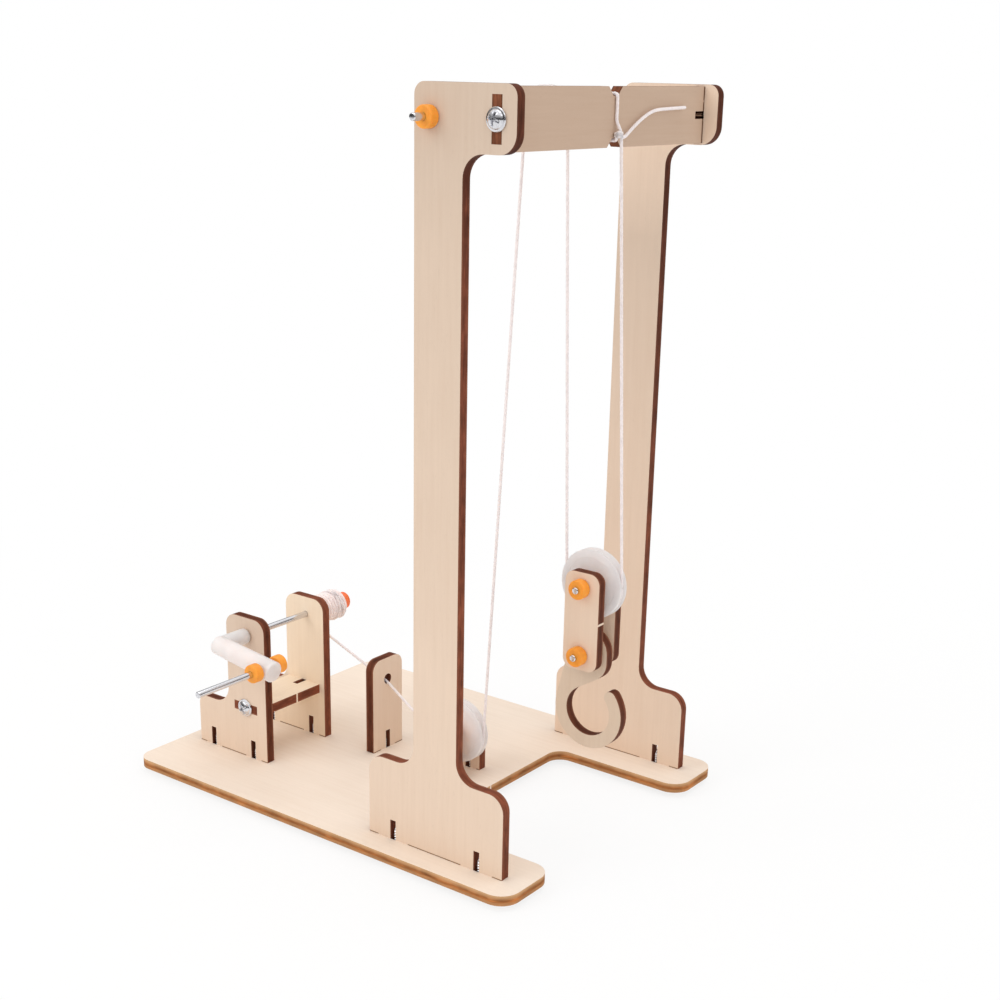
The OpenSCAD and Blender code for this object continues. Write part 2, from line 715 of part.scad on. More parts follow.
// The handle rod turns in the crank arm
module handle_rod() {
    inner_y = crank_y + crank_arm_d / 2 + side_gap + bushing_l + rod_over;
    outer_y = crank_y - crank_arm_d / 2 - side_gap - bushing_l - handle_l;
    color(steel) along_y(handle_x, handle_z, outer_y, inner_y, rod_r);
}
module handle_bushings() {
    start = crank_arm_d / 2 + side_gap;
    color(orange_plastic) for (y0 = [crank_y + start, crank_y - start - bushing_l])
        bushing_y(handle_x, handle_z, y0);
}

// The hook block
module link(y0) {
    mid_z = (upper_pin_z + lower_pin_z) / 2;
    color(birch) difference() {
        plate_along_x(y0) polygon(rounded([
            [block_x - link_w / 2, mid_z - link_l / 2, link_corner_r],
            [block_x + link_w / 2, mid_z - link_l / 2, link_corner_r],
            [block_x + link_w / 2, mid_z + link_l / 2, link_corner_r],
            [block_x - link_w / 2, mid_z + link_l / 2, link_corner_r]]));
        for (z = [lower_pin_z, upper_pin_z])
            along_y(block_x, z, y0 - overrun, y0 + ply_t + overrun, rod_r + press_gap);
    }
}
module front_link() {
    link(-link_outer_y);
}
module rear_link() {
    link(link_gap / 2);
}
module upper_pin() {
    color(steel) along_y(block_x, upper_pin_z, -pin_half_l, pin_half_l, rod_r);
}
module lower_pin() {
    color(steel) along_y(block_x, lower_pin_z, -pin_half_l, pin_half_l, rod_r);
}
module block_bushings() {
    start = link_outer_y + seat_gap;
    color(orange_plastic) for (z = [upper_pin_z, lower_pin_z], y0 = [start, -start - bushing_l])
        bushing_y(block_x, z, y0);
}
// An open bow with a round tip; a neck joins it to the lobe that hangs on the lower pin
function arc(at, r, a0, a1, from, to, steps) =
    [for (i = [from:to]) let (a = a0 + (a1 - a0) * i / steps) at + r * [cos(a), sin(a)]];
module hook() {
    bow_steps = 36;
    eye_steps = 18;
    lobe_steps = 6;
    tip_steps = 12;
    bow = [0, 0];
    bow_mid_r = (hook_r + hook_inner_r) / 2;
    tip_r = (hook_r - hook_inner_r) / 2;
    tip = bow_mid_r * [cos(hook_tip_angle), sin(hook_tip_angle)];
    eye = [-hook_offset, hook_drop];
    lobe = eye - [0, hook_lobe_l];
    // The back of the neck is the common tangent of the bow and the lobe
    back_angle = atan2(eye[1], eye[0]) + acos((hook_r - hook_eye_r) / norm(eye));
    outline = concat(
        arc(bow, hook_r, hook_tip_angle, back_angle - 360, 0, bow_steps, bow_steps),
        arc(eye, hook_eye_r, back_angle, 0, 0, eye_steps, eye_steps),
        arc(lobe, hook_eye_r, 0, -hook_flank_angle, 0, lobe_steps, lobe_steps),
        arc(bow, hook_inner_r, hook_neck_angle, hook_tip_angle + 360, 0, bow_steps, bow_steps),
        arc(tip, tip_r, hook_tip_angle + 180, hook_tip_angle, 1, tip_steps - 1, tip_steps));
    color(birch) difference() {
        plate_along_x(-ply_t / 2) translate([block_x + hook_offset, hook_mid_z]) polygon(outline);
        along_y(block_x, lower_pin_z, -ply_t, ply_t, rod_hole_r);
    }
}

// The string: wrapped stretches follow the pulleys, the others are straight or hang
reel_wrap = 70;
reel_steps = 5;
wrap_steps = 8;
block_steps = 14;
function in_plane(p) = [p[0], 0, p[1]];
function rim_point(at, r, a) = [at[0] + r * cos(a), 0, at[1] + r * sin(a)];
module string_lead() {
    reel_arc = arc_y(winch_shaft_x, lead_y, winch_shaft_z, spool_wind_r,
        reel_angle - 90 - reel_wrap, reel_angle - 90, reel_steps);
    bottom_arc = arc_y(bottom_pulley_x, 0, bottom_pulley_z, line_r,
        lead_angle - 90, rise_angle - 90, wrap_steps);
    top_arc = arc_y(top_pulley_x, 0, head_mid_z, top_line_r, rise_angle + 90, fall_angle + 90, wrap_steps);
    color(cotton) tube(concat(reel_arc, [in_plane(guide_back_at), in_plane(guide_at)], bottom_arc, top_arc));
}
module string_down_fall() {
    color(cotton) tube([
        rim_point(top_at, top_line_r, fall_angle + 90),
        rim_point(block_at, line_r, fall_angle - 90)]);
}
module string_block_loop() {
    color(cotton) tube(arc_y(block_x, 0, upper_pin_z, line_r,
        fall_angle - 90, lift_angle - 90, block_steps));
}
module string_up_fall() {
    color(cotton) tube([rim_point(block_at, line_r, lift_angle - 90), in_plane(knot_foot_at)]);
}
// Points of the loose end of the string along the front of the beam, counted from the knot
tail_route = [[0, 0, -0.1], [-0.2, 1.8, -0.6], [-0.4, 3.7, -0.4], [-0.4, 7.2, 1.7], [-0.4, 10.2, 3.3],
    [-0.4, 13.6, 4.8], [-0.4, 17, 5.8], [-0.4, 20, 6.1], [-0.4, 26, 6.3], [-0.4, 33, 6.5]];
module string_tie() {
    top_z = head_mid_z + beam_h / 2 - notch_d + string_r + snug_gap;
    low_z = head_mid_z - beam_h / 2 + notch_d - string_r - snug_gap;
    back_x = beam_back_x - string_r - snug_gap;
    front_x = beam_front_x + string_r + snug_gap;
    color(cotton) {
        tube([
            [front_x, 0, knot_at[1]],
            [front_x, 0, top_z],
            [back_x, 0, top_z],
            [back_x, 0, low_z],
            [front_x, 0, low_z],
            [front_x, 0, low_z + string_d]]);
        translate(in_plane(knot_at)) {
            sphere(r = knot_r, $fn = knot_fn);
            tail();
        }
    }
}
// The tail runs along Y, so it is swept along X and turned into place
module tail() {
    rotate([0, 0, 90]) tube([for (p = tail_route) [p[1], -p[0], p[2]]]);
}

base_plate();
base_screws();
near_upright();
far_upright();
crossbeam();
beam_screws();
winch_near_plate();
winch_far_plate();
winch_shelf();
shelf_screws();
guide_plate();
near_bracket();
far_bracket();
bracket_shaft();
bracket_bushings();
bottom_pulley();
top_shaft();
top_bushings();
top_collars();
top_pulley();
winch_shaft();
crank();
spool_core();
spool_winding();
spool_bushing();
handle_rod();
handle_bushings();
front_link();
rear_link();
upper_pin();
lower_pin();
block_bushings();
block_pulley();
hook();
string_lead();
string_down_fall();
string_block_loop();
string_up_fall();
string_tie();
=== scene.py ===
"""Hand-operated crane model of laser-cut plywood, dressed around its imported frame."""

import math
import random

import bmesh
import bpy
from mathutils import Matrix, Vector


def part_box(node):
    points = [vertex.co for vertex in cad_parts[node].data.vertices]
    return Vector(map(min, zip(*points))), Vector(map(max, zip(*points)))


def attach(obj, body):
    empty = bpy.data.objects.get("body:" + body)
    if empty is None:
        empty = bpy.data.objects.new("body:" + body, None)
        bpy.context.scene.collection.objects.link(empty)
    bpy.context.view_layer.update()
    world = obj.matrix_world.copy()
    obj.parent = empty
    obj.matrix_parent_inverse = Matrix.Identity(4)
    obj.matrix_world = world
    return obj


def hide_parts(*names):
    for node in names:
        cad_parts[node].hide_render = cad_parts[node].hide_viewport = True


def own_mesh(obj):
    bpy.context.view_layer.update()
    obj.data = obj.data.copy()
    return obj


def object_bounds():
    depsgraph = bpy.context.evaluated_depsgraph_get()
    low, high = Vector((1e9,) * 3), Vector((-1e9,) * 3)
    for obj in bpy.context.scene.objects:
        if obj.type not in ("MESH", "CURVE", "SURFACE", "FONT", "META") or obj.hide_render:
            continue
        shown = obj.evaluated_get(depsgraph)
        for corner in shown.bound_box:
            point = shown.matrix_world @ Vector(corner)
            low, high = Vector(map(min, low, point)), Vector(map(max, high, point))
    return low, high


bl_info = {
    "name": "Hand crane model",
    "version": (1, 0, 0),
    "blender": (4, 5, 0),
    "location": "3D View > Sidebar > Crane",
    "description": "Builds a tabletop plywood crane with its winch, pulleys, string and hook block",
    "category": "Object",
}

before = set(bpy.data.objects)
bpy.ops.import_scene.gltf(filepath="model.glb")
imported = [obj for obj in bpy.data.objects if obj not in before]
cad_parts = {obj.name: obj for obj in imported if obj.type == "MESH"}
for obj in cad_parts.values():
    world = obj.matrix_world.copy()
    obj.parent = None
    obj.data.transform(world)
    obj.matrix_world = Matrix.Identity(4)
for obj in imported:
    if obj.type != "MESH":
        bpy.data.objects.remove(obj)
CAD_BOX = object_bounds()
MM = 0.001
PI = math.pi


def middle(node):
    """The middle of a CAD node's box."""
    low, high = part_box(node)
    return (low + high) / 2


def half_height(node):
    """Half the height of a CAD node, which is the radius of a disc or rod that lies across the crane."""
    low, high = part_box(node)
    return (high.z - low.z) / 2


def sketch(red, green, blue):
    """A colour given as 0 to 255 on screen, in the linear values that a material takes."""
    def line(value):
        share = value / 255
        return share / 12.92 if share <= 0.04045 else ((share + 0.055) / 1.055) ** 2.4
    return (line(red), line(green), line(blue))


class CraneStageSettings(bpy.types.PropertyGroup):
    camera_place: bpy.props.FloatVectorProperty(
        name="Camera place",
        description="Where the camera stands",
        subtype="TRANSLATION",
        unit="LENGTH",
        default=(0.28985, -0.35366, 0.21223),
    )
    camera_yaw: bpy.props.FloatProperty(
        name="Camera yaw",
        description="Turn of the camera round the crane",
        subtype="ANGLE",
        default=0.637595,
    )
    camera_pitch: bpy.props.FloatProperty(
        name="Camera pitch",
        description="Angle by which the camera looks down",
        subtype="ANGLE",
        default=0.339675,
    )
    camera_roll: bpy.props.FloatProperty(
        name="Camera roll",
        description="Tilt of the camera about its own line of sight",
        subtype="ANGLE",
        default=0.020904,
    )
    lens: bpy.props.FloatProperty(
        name="Lens",
        description="Focal length of the camera in millimetres",
        default=56.527,
    )
    lens_rise: bpy.props.FloatProperty(
        name="Lens rise",
        description="Upward shift of the picture, as a share of its width",
        default=0.12,
    )
    floor_colour: bpy.props.FloatVectorProperty(
        name="Floor colour",
        description="Colour of the plain floor",
        subtype="COLOR",
        default=(0.9, 0.9, 0.9),
    )


class CraneWoodSettings(bpy.types.PropertyGroup):
    face_colour: bpy.props.FloatVectorProperty(
        name="Face",
        description="Colour of the upright plywood faces",
        subtype="COLOR",
        default=sketch(233, 210, 189),
    )
    # Partly painted light: the base plate's faces are lighter than the uprights', partly its own sheet and
    # partly light from above painted into the colour
    board_colour_with_painted_light: bpy.props.FloatVectorProperty(
        name="Board",
        description="Colour of the lying plywood faces",
        subtype="COLOR",
        default=sketch(240, 224, 208),
    )
    # Painted light: the far winch plate and the shelf get a lighter colour that stands in for light where
    # they lie in shade
    pale_painted_light_colour: bpy.props.FloatVectorProperty(
        name="Pale",
        description="Colour of the far winch plate and the shelf, cut from a paler sheet",
        subtype="COLOR",
        default=sketch(246, 227, 203),
    )
    grain_tint: bpy.props.FloatVectorProperty(
        name="Grain tint",
        description="Share of each channel that is left in the darker streaks of the grain",
        default=(0.972, 0.957, 0.945),
    )
    edge_colour: bpy.props.FloatVectorProperty(
        name="Cut edge",
        description="Colour of the edges that the laser burnt",
        subtype="COLOR",
        default=sketch(117, 63, 44),
    )
    beam_colour: bpy.props.FloatVectorProperty(
        name="Beam",
        description="Colour of the faces of the crossbeam, cut from a darker sheet",
        subtype="COLOR",
        default=sketch(200, 174, 153),
    )
    hook_colour: bpy.props.FloatVectorProperty(
        name="Hook",
        description="Colour of the faces of the hook",
        subtype="COLOR",
        default=sketch(224, 204, 183),
    )
    # Soot on the crossbeam's cut ends, and its line at the upright, which is partly soot and partly painted
    # shadow in the joint's gap
    soot_and_gap_shadow_colour: bpy.props.FloatVectorProperty(
        name="Soot",
        description="Colour of the sooty lines along the cut edges",
        subtype="COLOR",
        default=sketch(88, 54, 34),
    )
    joint_colour: bpy.props.FloatVectorProperty(
        name="Foot joints",
        description="Colour of the lines where the plates stand on the base plate",
        subtype="COLOR",
        default=sketch(128, 92, 58),
    )
    dark_edge_colour: bpy.props.FloatVectorProperty(
        name="Dark cut edge",
        description="Colour of the edges of the small plates, which are burnt more",
        subtype="COLOR",
        default=sketch(90, 46, 30),
    )
    tab_colour: bpy.props.FloatVectorProperty(
        name="Crossbeam ends",
        description="Colour of the cut ends of the crossbeam between their sooty borders",
        subtype="COLOR",
        default=sketch(116, 68, 46),
    )
    rim_colour: bpy.props.FloatVectorProperty(
        name="Edge rim",
        description="Colour of the outer plies in the burnt edges",
        subtype="COLOR",
        default=sketch(152, 100, 76),
    )
    board_rim_colour: bpy.props.FloatVectorProperty(
        name="Board edge rim",
        description="Colour of the outer plies in the edge of the base plate",
        subtype="COLOR",
        default=sketch(212, 172, 128),
    )
    board_edge_colour: bpy.props.FloatVectorProperty(
        name="Board edge",
        description="Colour of the cut edge of the base plate",
        subtype="COLOR",
        default=sketch(158, 98, 52),
    )


class CranePlasticSettings(bpy.types.PropertyGroup):
    bushing_colour: bpy.props.FloatVectorProperty(
        name="Bushings",
        description="Colour of the soft bushings on the rods",
        subtype="COLOR",
        default=sketch(255, 163, 50),
    )
    bushing_edge: bpy.props.FloatProperty(
        name="Bushing edge",
        description="Radius of the rounded edges of a bushing",
        unit="LENGTH",
        default=0.45 * MM,
    )
    spool_bushing_colour: bpy.props.FloatVectorProperty(
        name="Spool bushing",
        description="Colour of the redder bushing beside the spool",
        subtype="COLOR",
        default=sketch(255, 122, 62),
    )
    crank_colour: bpy.props.FloatVectorProperty(
        name="Crank",
        description="Colour of the moulded crank",
        subtype="COLOR",
        default=sketch(248, 236, 233),
    )
    moulded_colour: bpy.props.FloatVectorProperty(
        name="Pulleys and spool",
        description="Colour of the moulded pulleys and the spool",
        subtype="COLOR",
        default=sketch(252, 241, 240),
    )
    crank_voxel: bpy.props.FloatProperty(
        name="Crank detail",
        description="Size of the steps in which the moulded crank is formed",
        unit="LENGTH",
        default=0.22 * MM,
    )
    crank_blend: bpy.props.IntProperty(
        name="Crank blend",
        description="How many times the moulded crank is smoothed",
        default=7,
    )


class CraneSteelSettings(bpy.types.PropertyGroup):
    rod_colour: bpy.props.FloatVectorProperty(
        name="Steel",
        description="Colour of the rods and screws",
        subtype="COLOR",
        default=sketch(228, 228, 232),
    )
    # Painted shade and reflection: the threads in the crossbeam's slots are darkened to brownish steel
    sooty_colour: bpy.props.FloatVectorProperty(
        name="Shaded thread steel",
        description="Colour of the threads in the slots of the crossbeam",
        subtype="COLOR",
        default=sketch(128, 100, 82),
    )
    rod_chamfer: bpy.props.FloatProperty(
        name="Rod chamfer",
        description="Rounding at the ends of the rods",
        unit="LENGTH",
        default=0.35 * MM,
    )
    thread_pitch: bpy.props.FloatProperty(
        name="Thread pitch",
        description="Distance between the ridges of a screw thread",
        unit="LENGTH",
        default=0.8 * MM,
    )
    thread_depth: bpy.props.FloatProperty(
        name="Thread depth",
        description="Height of the ridges of a screw thread",
        unit="LENGTH",
        default=0.22 * MM,
    )
    recess_depth: bpy.props.FloatProperty(
        name="Recess depth",
        description="Depth of the cross recess in a screw head",
        unit="LENGTH",
        default=0.75 * MM,
    )


class CraneStringSettings(bpy.types.PropertyGroup):
    colour: bpy.props.FloatVectorProperty(
        name="String",
        description="Colour of the cotton string",
        subtype="COLOR",
        default=sketch(244, 234, 234),
    )
    slack_colour: bpy.props.FloatVectorProperty(
        name="Wound string",
        description="Colour of the slack string on the spool",
        subtype="COLOR",
        default=sketch(253, 234, 231),
    )
    radius: bpy.props.FloatProperty(
        name="String radius",
        description="Radius of the string",
        unit="LENGTH",
        default=0.45 * MM,
    )
    lay: bpy.props.FloatProperty(
        name="Lay",
        description="Length in which the three plies of the string turn once",
        unit="LENGTH",
        default=3.3 * MM,
    )
    line_inset: bpy.props.FloatProperty(
        name="Line inset",
        description="Depth of the string's middle below the rim of a pulley",
        unit="LENGTH",
        default=0.75 * MM,
    )
    guide_pass: bpy.props.FloatVectorProperty(
        name="Guide pass",
        description="Where the string leaves the hole in the guide plate",
        subtype="TRANSLATION",
        unit="LENGTH",
        default=(-16.3 * MM, 0, 25.65 * MM),
    )
    knot: bpy.props.FloatVectorProperty(
        name="Knot",
        description="Middle of the knot in front of the crossbeam",
        subtype="TRANSLATION",
        unit="LENGTH",
        default=(62.36 * MM, 0, 195.9 * MM),
    )
    loops: bpy.props.IntProperty(
        name="Loops",
        description="Loops of string on the spool",
        default=7,
    )
    loop_pitch: bpy.props.FloatProperty(
        name="Loop pitch",
        description="Distance between neighbouring loops on the spool",
        unit="LENGTH",
        default=1.35 * MM,
    )


class Finish:
    """A material whose colour, roughness and relief come from nodes."""

    def __init__(self, name):
        self.material = bpy.data.materials.new(name)
        self.material.use_nodes = True
        self.tree = self.material.node_tree
        self.tree.nodes.clear()
        output = self.add("ShaderNodeOutputMaterial")
        self.shader = self.add("ShaderNodeBsdfPrincipled")
        self.tree.links.new(self.shader.outputs["BSDF"], output.inputs["Surface"])
        self.coordinates = self.add("ShaderNodeTexCoord")

    def add(self, kind, **values):
        node = self.tree.nodes.new(kind)
        for key, value in values.items():
            setattr(node, key, value)
        return node

    def feed(self, node, **inputs):
        """Sets or links the named inputs of a node; underscores in a name stand for spaces."""
        for key, value in inputs.items():
            socket = node.inputs[key.replace("_", " ")]
            if isinstance(value, bpy.types.NodeSocket):
                self.tree.links.new(value, socket)
            else:
                socket.default_value = value
        return node

    def stretched(self, axis="X", share=1.0, others=1.0):
        """The place on the piece, scaled by a share along one axis and by others along the rest."""
        stretch = [others] * 3
        stretch["XYZ".index(axis)] = share
        node = self.add("ShaderNodeMapping")
        self.feed(node, Vector=self.coordinates.outputs["Object"], Scale=stretch)
        return node.outputs["Vector"]

    def noise(self, place, scale, detail=3.0, roughness=0.55):
        node = self.add("ShaderNodeTexNoise")
        self.feed(node, Vector=place, Scale=scale, Detail=detail, Roughness=roughness)
        return node.outputs["Fac"]

    def sums(self, operation, first, second=0.0, third=None):
        node = self.add("ShaderNodeMath", operation=operation)
        values = [first, second] if third is None else [first, second, third]
        for socket, value in zip(node.inputs, values):
            if isinstance(value, bpy.types.NodeSocket):
                self.tree.links.new(value, socket)
            else:
                socket.default_value = value
        return node.outputs[0]

    def shades(self, factor, stops):
        """Colours between stops given as place and colour."""
        node = self.add("ShaderNodeValToRGB")
        ramp = node.color_ramp
        while len(ramp.elements) < len(stops):
            ramp.elements.new(0.5)
        for element, (place, colour) in zip(ramp.elements, stops):
            element.position = place
            element.color = (*colour, 1)
        self.tree.links.new(factor, node.inputs["Fac"])
        return node.outputs["Color"]

    def toned(self, colour, level, stops):
        """A colour darkened by the shares that belong to the stops of a level."""
        node = self.add("ShaderNodeMix", data_type="RGBA", blend_type="MULTIPLY")
        node.inputs[0].default_value = 1.0
        self.tree.links.new(colour, node.inputs[6])
        self.tree.links.new(self.shades(level, greys(stops)), node.inputs[7])
        return node.outputs[2]

    def mixed(self, factor, first, second):
        node = self.add("ShaderNodeMix", data_type="RGBA")
        for socket, value in ((node.inputs[0], factor), (node.inputs[6], first), (node.inputs[7], second)):
            if isinstance(value, bpy.types.NodeSocket):
                self.tree.links.new(value, socket)
            else:
                socket.default_value = (*value, 1) if hasattr(value, "__len__") else value
        return node.outputs[2]

    def relief(self, height, strength, distance):
        node = self.add("ShaderNodeBump")
        self.feed(node, Height=height, Strength=strength, Distance=distance)
        self.tree.links.new(node.outputs["Normal"], self.shader.inputs["Normal"])

    def axis(self, source, name):
        node = self.add("ShaderNodeSeparateXYZ")
        self.tree.links.new(source, node.inputs[0])
        return node.outputs[name]


def darker(colour, share):
    return tuple(channel * share for channel in colour)


def lighter(colour, factor):
    return tuple(min(1, channel * factor) for channel in colour)


def greys(stops):
    """Stops of place and share as stops of place and grey."""
    return [(place, (share,) * 3) for place, share in stops]


# How far the outer plies show in a cut edge, from one face of the sheet to the other
STANDING_RIMS = [(0.0, 0.8), (0.2, 0.1), (0.5, 0.0), (0.8, 0.1), (1.0, 0.8)]
LYING_RIMS = [(0.0, 0.4), (0.25, 0.3), (0.4, 0.0), (0.55, 0.05), (0.75, 0.48), (1.0, 0.93)]
# Painted shade: the faces and cut edges of the uprights and the near winch plate darken with height, where
# less light falls; heights are shares of the crane's height
NEAR_PAINTED_SHADE = [(0.0, 0.97), (0.28, 0.94), (0.5, 0.89), (0.8, 0.84), (0.95, 0.78)]
FAR_PAINTED_SHADE = [(0.0, 1.0), (0.28, 0.97), (0.5, 0.91), (0.8, 0.78), (0.92, 1.0)]
FAR_EDGE_PAINTED_SHADE = [(0.05, 1.0), (0.3, 0.88), (0.55, 0.72), (0.85, 0.46)]
WINCH_PAINTED_SHADE = [(0.0, 0.99), (0.1, 0.96), (0.2, 0.85)]
HEAD_EDGE_PAINTED_SHADE = [(0.0, 1.0), (0.8, 0.95), (0.9, 0.5)]
# Painted shade by height, for the faces and for the cut edges
PAINTED_SHADE_BY_HEIGHT = {
    "near_upright": (NEAR_PAINTED_SHADE, HEAD_EDGE_PAINTED_SHADE),
    "far_upright": (FAR_PAINTED_SHADE, FAR_EDGE_PAINTED_SHADE),
    "winch_near_plate": (WINCH_PAINTED_SHADE, HEAD_EDGE_PAINTED_SHADE),
}


def plywood(name, across, along, colours, wood, span, rims, bridge, soot, skips, height_shades):
    """Birch plywood from the colours of its faces, its cut edges and their outer plies.

    `across` is the axis of its thickness, which lies within span, and `along` that of its grain.
    Soot lists the dark joint lines on its faces, and skips the stretches of these where a tab goes through;
    on the crossbeam that line is partly soot and partly painted shadow in the gap at the upright.
    Tones are the stops by height of the painted shade on its faces and on its edges.
    """
    face, edge, rim = map(tuple, colours)
    finish = Finish(name)
    grain = tuple(channel * tint for channel, tint in zip(face, wood.grain_tint))
    squeeze, fleck_squeeze, stroke_squeeze = 0.045, 0.2, 0.14
    streak_size, cloud_size, fleck_size, stroke_size, patch_size = 900.0, 38.0, 2200.0, 1500.0, 160.0
    face_cosine = 0.6
    streaks = finish.noise(finish.stretched(along, squeeze), streak_size, 5.0, 0.6)
    clouds = finish.noise(finish.stretched(), cloud_size, 2.0, 0.5)
    flecks = finish.noise(finish.stretched(along, fleck_squeeze), fleck_size, 2.0, 0.6)
    tone = finish.sums("MULTIPLY_ADD", streaks, 0.62, finish.sums("MULTIPLY", clouds, 0.38))
    surface = finish.shades(tone, [(0.34, grain), (0.52, face), (0.68, lighter(face, 1.03))])
    fleck_mask = finish.shades(flecks, greys([(0.28, 0.2), (0.38, 0)]))
    surface = finish.mixed(fleck_mask, surface, darker(grain, 0.85))
    if soot:
        broken = finish.sums("GREATER_THAN", finish.noise(finish.stretched(), 330.0, 2.0, 0.5), 0.3)
        sooty = finish.sums("MULTIPLY", lines(finish, soot), broken)
        for axis, value, half_width in skips:
            place = finish.axis(finish.coordinates.outputs["Object"], axis)
            beside = finish.sums("SUBTRACT", 1.0, finish.sums("COMPARE", place, value, half_width))
            sooty = finish.sums("MULTIPLY", sooty, beside)
        # Without tabs this is the crossbeam's line, partly soot and partly painted shadow in the gap at the
        # upright
        joint = wood.joint_colour if skips else wood.soot_and_gap_shadow_colour
        surface = finish.mixed(finish.sums("MULTIPLY", sooty, 0.9), surface, tuple(joint))
    # The cut edge is burnt unevenly, in fine strokes that run along it
    strokes = finish.noise(finish.stretched(across, 1.0, stroke_squeeze), stroke_size, 3.0, 0.6)
    patches = finish.noise(finish.stretched(), patch_size, 2.0, 0.5)
    burn = finish.sums("MULTIPLY_ADD", strokes, 0.55, finish.sums("MULTIPLY", patches, 0.45))
    burnt = finish.shades(burn, [(0.34, darker(edge, 0.55)), (0.5, edge), (0.68, lighter(edge, 1.75))])
    # Its outer plies are burnt less than the core
    level = finish.add("ShaderNodeMapRange")
    finish.feed(level, Value=finish.axis(finish.coordinates.outputs["Object"], across))
    finish.feed(level, From_Min=span[0], From_Max=span[1])
    level = finish.sums("MULTIPLY_ADD", patches, 0.3, finish.sums("ADD", level.outputs["Result"], -0.15))
    burnt = finish.mixed(finish.shades(level, greys(rims)), burnt, rim)
    if bridge:
        burnt = finish.mixed(bridge_mask(finish, bridge), burnt, face)
    # Painted shade: faces and cut edges darken with height, where less light falls
    if height_shades:
        height = finish.add("ShaderNodeMapRange")
        finish.feed(height, Value=finish.axis(finish.coordinates.outputs["Object"], "Z"))
        finish.feed(height, From_Min=CAD_BOX[0].z, From_Max=CAD_BOX[1].z)
        surface = finish.toned(surface, height.outputs["Result"], height_shades[0])
        burnt = finish.toned(burnt, height.outputs["Result"], height_shades[1])
    facing = finish.sums("ABSOLUTE", finish.axis(finish.coordinates.outputs["Normal"], across))
    is_face = finish.sums("GREATER_THAN", facing, face_cosine)
    finish.feed(finish.shader, Base_Color=finish.mixed(is_face, burnt, surface))
    roughness = finish.sums("MULTIPLY_ADD", streaks, 0.12, 0.58)
    finish.feed(finish.shader, Roughness=roughness)
    finish.shader.inputs["Specular IOR Level"].default_value = 0.1
    finish.relief(finish.sums("ADD", streaks, finish.sums("MULTIPLY", strokes, 0.4)), 0.25, 0.00012)
    return finish.material


def lines(finish, places):
    """One along each of the lines given as axis, place on either side of the middle, and half width."""
    mask = None
    for axis, value, half_width in places:
        reach = finish.sums("ABSOLUTE", finish.axis(finish.coordinates.outputs["Object"], axis))
        near = finish.sums("COMPARE", reach, value, half_width)
        mask = near if mask is None else finish.sums("MAXIMUM", mask, near)
    return mask


def bridge_mask(finish, bridge):
    """One where the laser left a bridge uncut: bridge lists axis, place and half width."""
    place = finish.coordinates.outputs["Object"]
    mask = None
    for axis, value, half_width in bridge:
        near = finish.sums("COMPARE", finish.axis(place, axis), value, half_width)
        mask = near if mask is None else finish.sums("MULTIPLY", mask, near)
    return mask


def steel(name, colour, along, shaded_hollows):
    """Steel with fine streaks along it; its recesses and thread grooves can be darkened with painted shade.
    """
    finish = Finish(name)
    streaks = finish.noise(finish.stretched(along, 0.04), 2600.0, 3.0, 0.6)
    spots = finish.noise(finish.stretched(), 700.0, 3.0, 0.6)
    tone = finish.shades(streaks, [(0.3, darker(colour, 0.8)), (0.55, colour)])
    if shaded_hollows:
        # Painted shade: the cross recesses and thread grooves, found by pointiness, are darkened
        curve = finish.add("ShaderNodeNewGeometry").outputs["Pointiness"]
        hollow_shade_mask = finish.shades(curve, greys([(0.4, 0.95), (0.485, 0)]))
        tone = finish.mixed(hollow_shade_mask, tone, darker(colour, 0.12))
    finish.feed(finish.shader, Base_Color=tone)
    finish.feed(finish.shader, Roughness=finish.sums("MULTIPLY_ADD", spots, 0.16, 0.1))
    finish.shader.inputs["Metallic"].default_value = 1.0
    finish.relief(streaks, 0.12, 0.00003)
    return finish.material


def soft_plastic(name, colour):
    """Matt soft plastic cut from tube, a little uneven in colour."""
    finish = Finish(name)
    clouds = finish.noise(finish.stretched(), 420.0, 3.0, 0.55)
    grains = finish.noise(finish.stretched(), 2400.0, 2.0, 0.5)
    tone = finish.shades(clouds, [(0.35, darker(colour, 0.86)), (0.6, colour)])
    finish.feed(finish.shader, Base_Color=tone)
    finish.feed(finish.shader, Roughness=finish.sums("MULTIPLY_ADD", grains, 0.2, 0.38))
    finish.shader.inputs["Subsurface Weight"].default_value = 0.25
    finish.shader.inputs["Subsurface Radius"].default_value = (0.0012, 0.0005, 0.0002)
    finish.shader.inputs["Subsurface Scale"].default_value = 1.0
    finish.relief(grains, 0.2, 0.00005)
    return finish.material


def milky_plastic(name, colour):
    """Milky moulded plastic that lets a little light through."""
    finish = Finish(name)
    clouds = finish.noise(finish.stretched(), 260.0, 3.0, 0.5)
    grains = finish.noise(finish.stretched(), 1800.0, 2.0, 0.5)
    tone = finish.shades(clouds, [(0.3, darker(colour, 0.93)), (0.65, colour)])
    finish.feed(finish.shader, Base_Color=tone)
    finish.feed(finish.shader, Roughness=finish.sums("MULTIPLY_ADD", grains, 0.18, 0.36))
    finish.shader.inputs["Subsurface Weight"].default_value = 0.8
    finish.shader.inputs["Subsurface Radius"].default_value = (0.006, 0.0053, 0.005)
    finish.shader.inputs["Subsurface Scale"].default_value = 1.0
    finish.shader.inputs["Transmission Weight"].default_value = 0.12
    finish.shader.inputs["IOR"].default_value = 1.46
    finish.relief(grains, 0.08, 0.00006)
    return finish.material


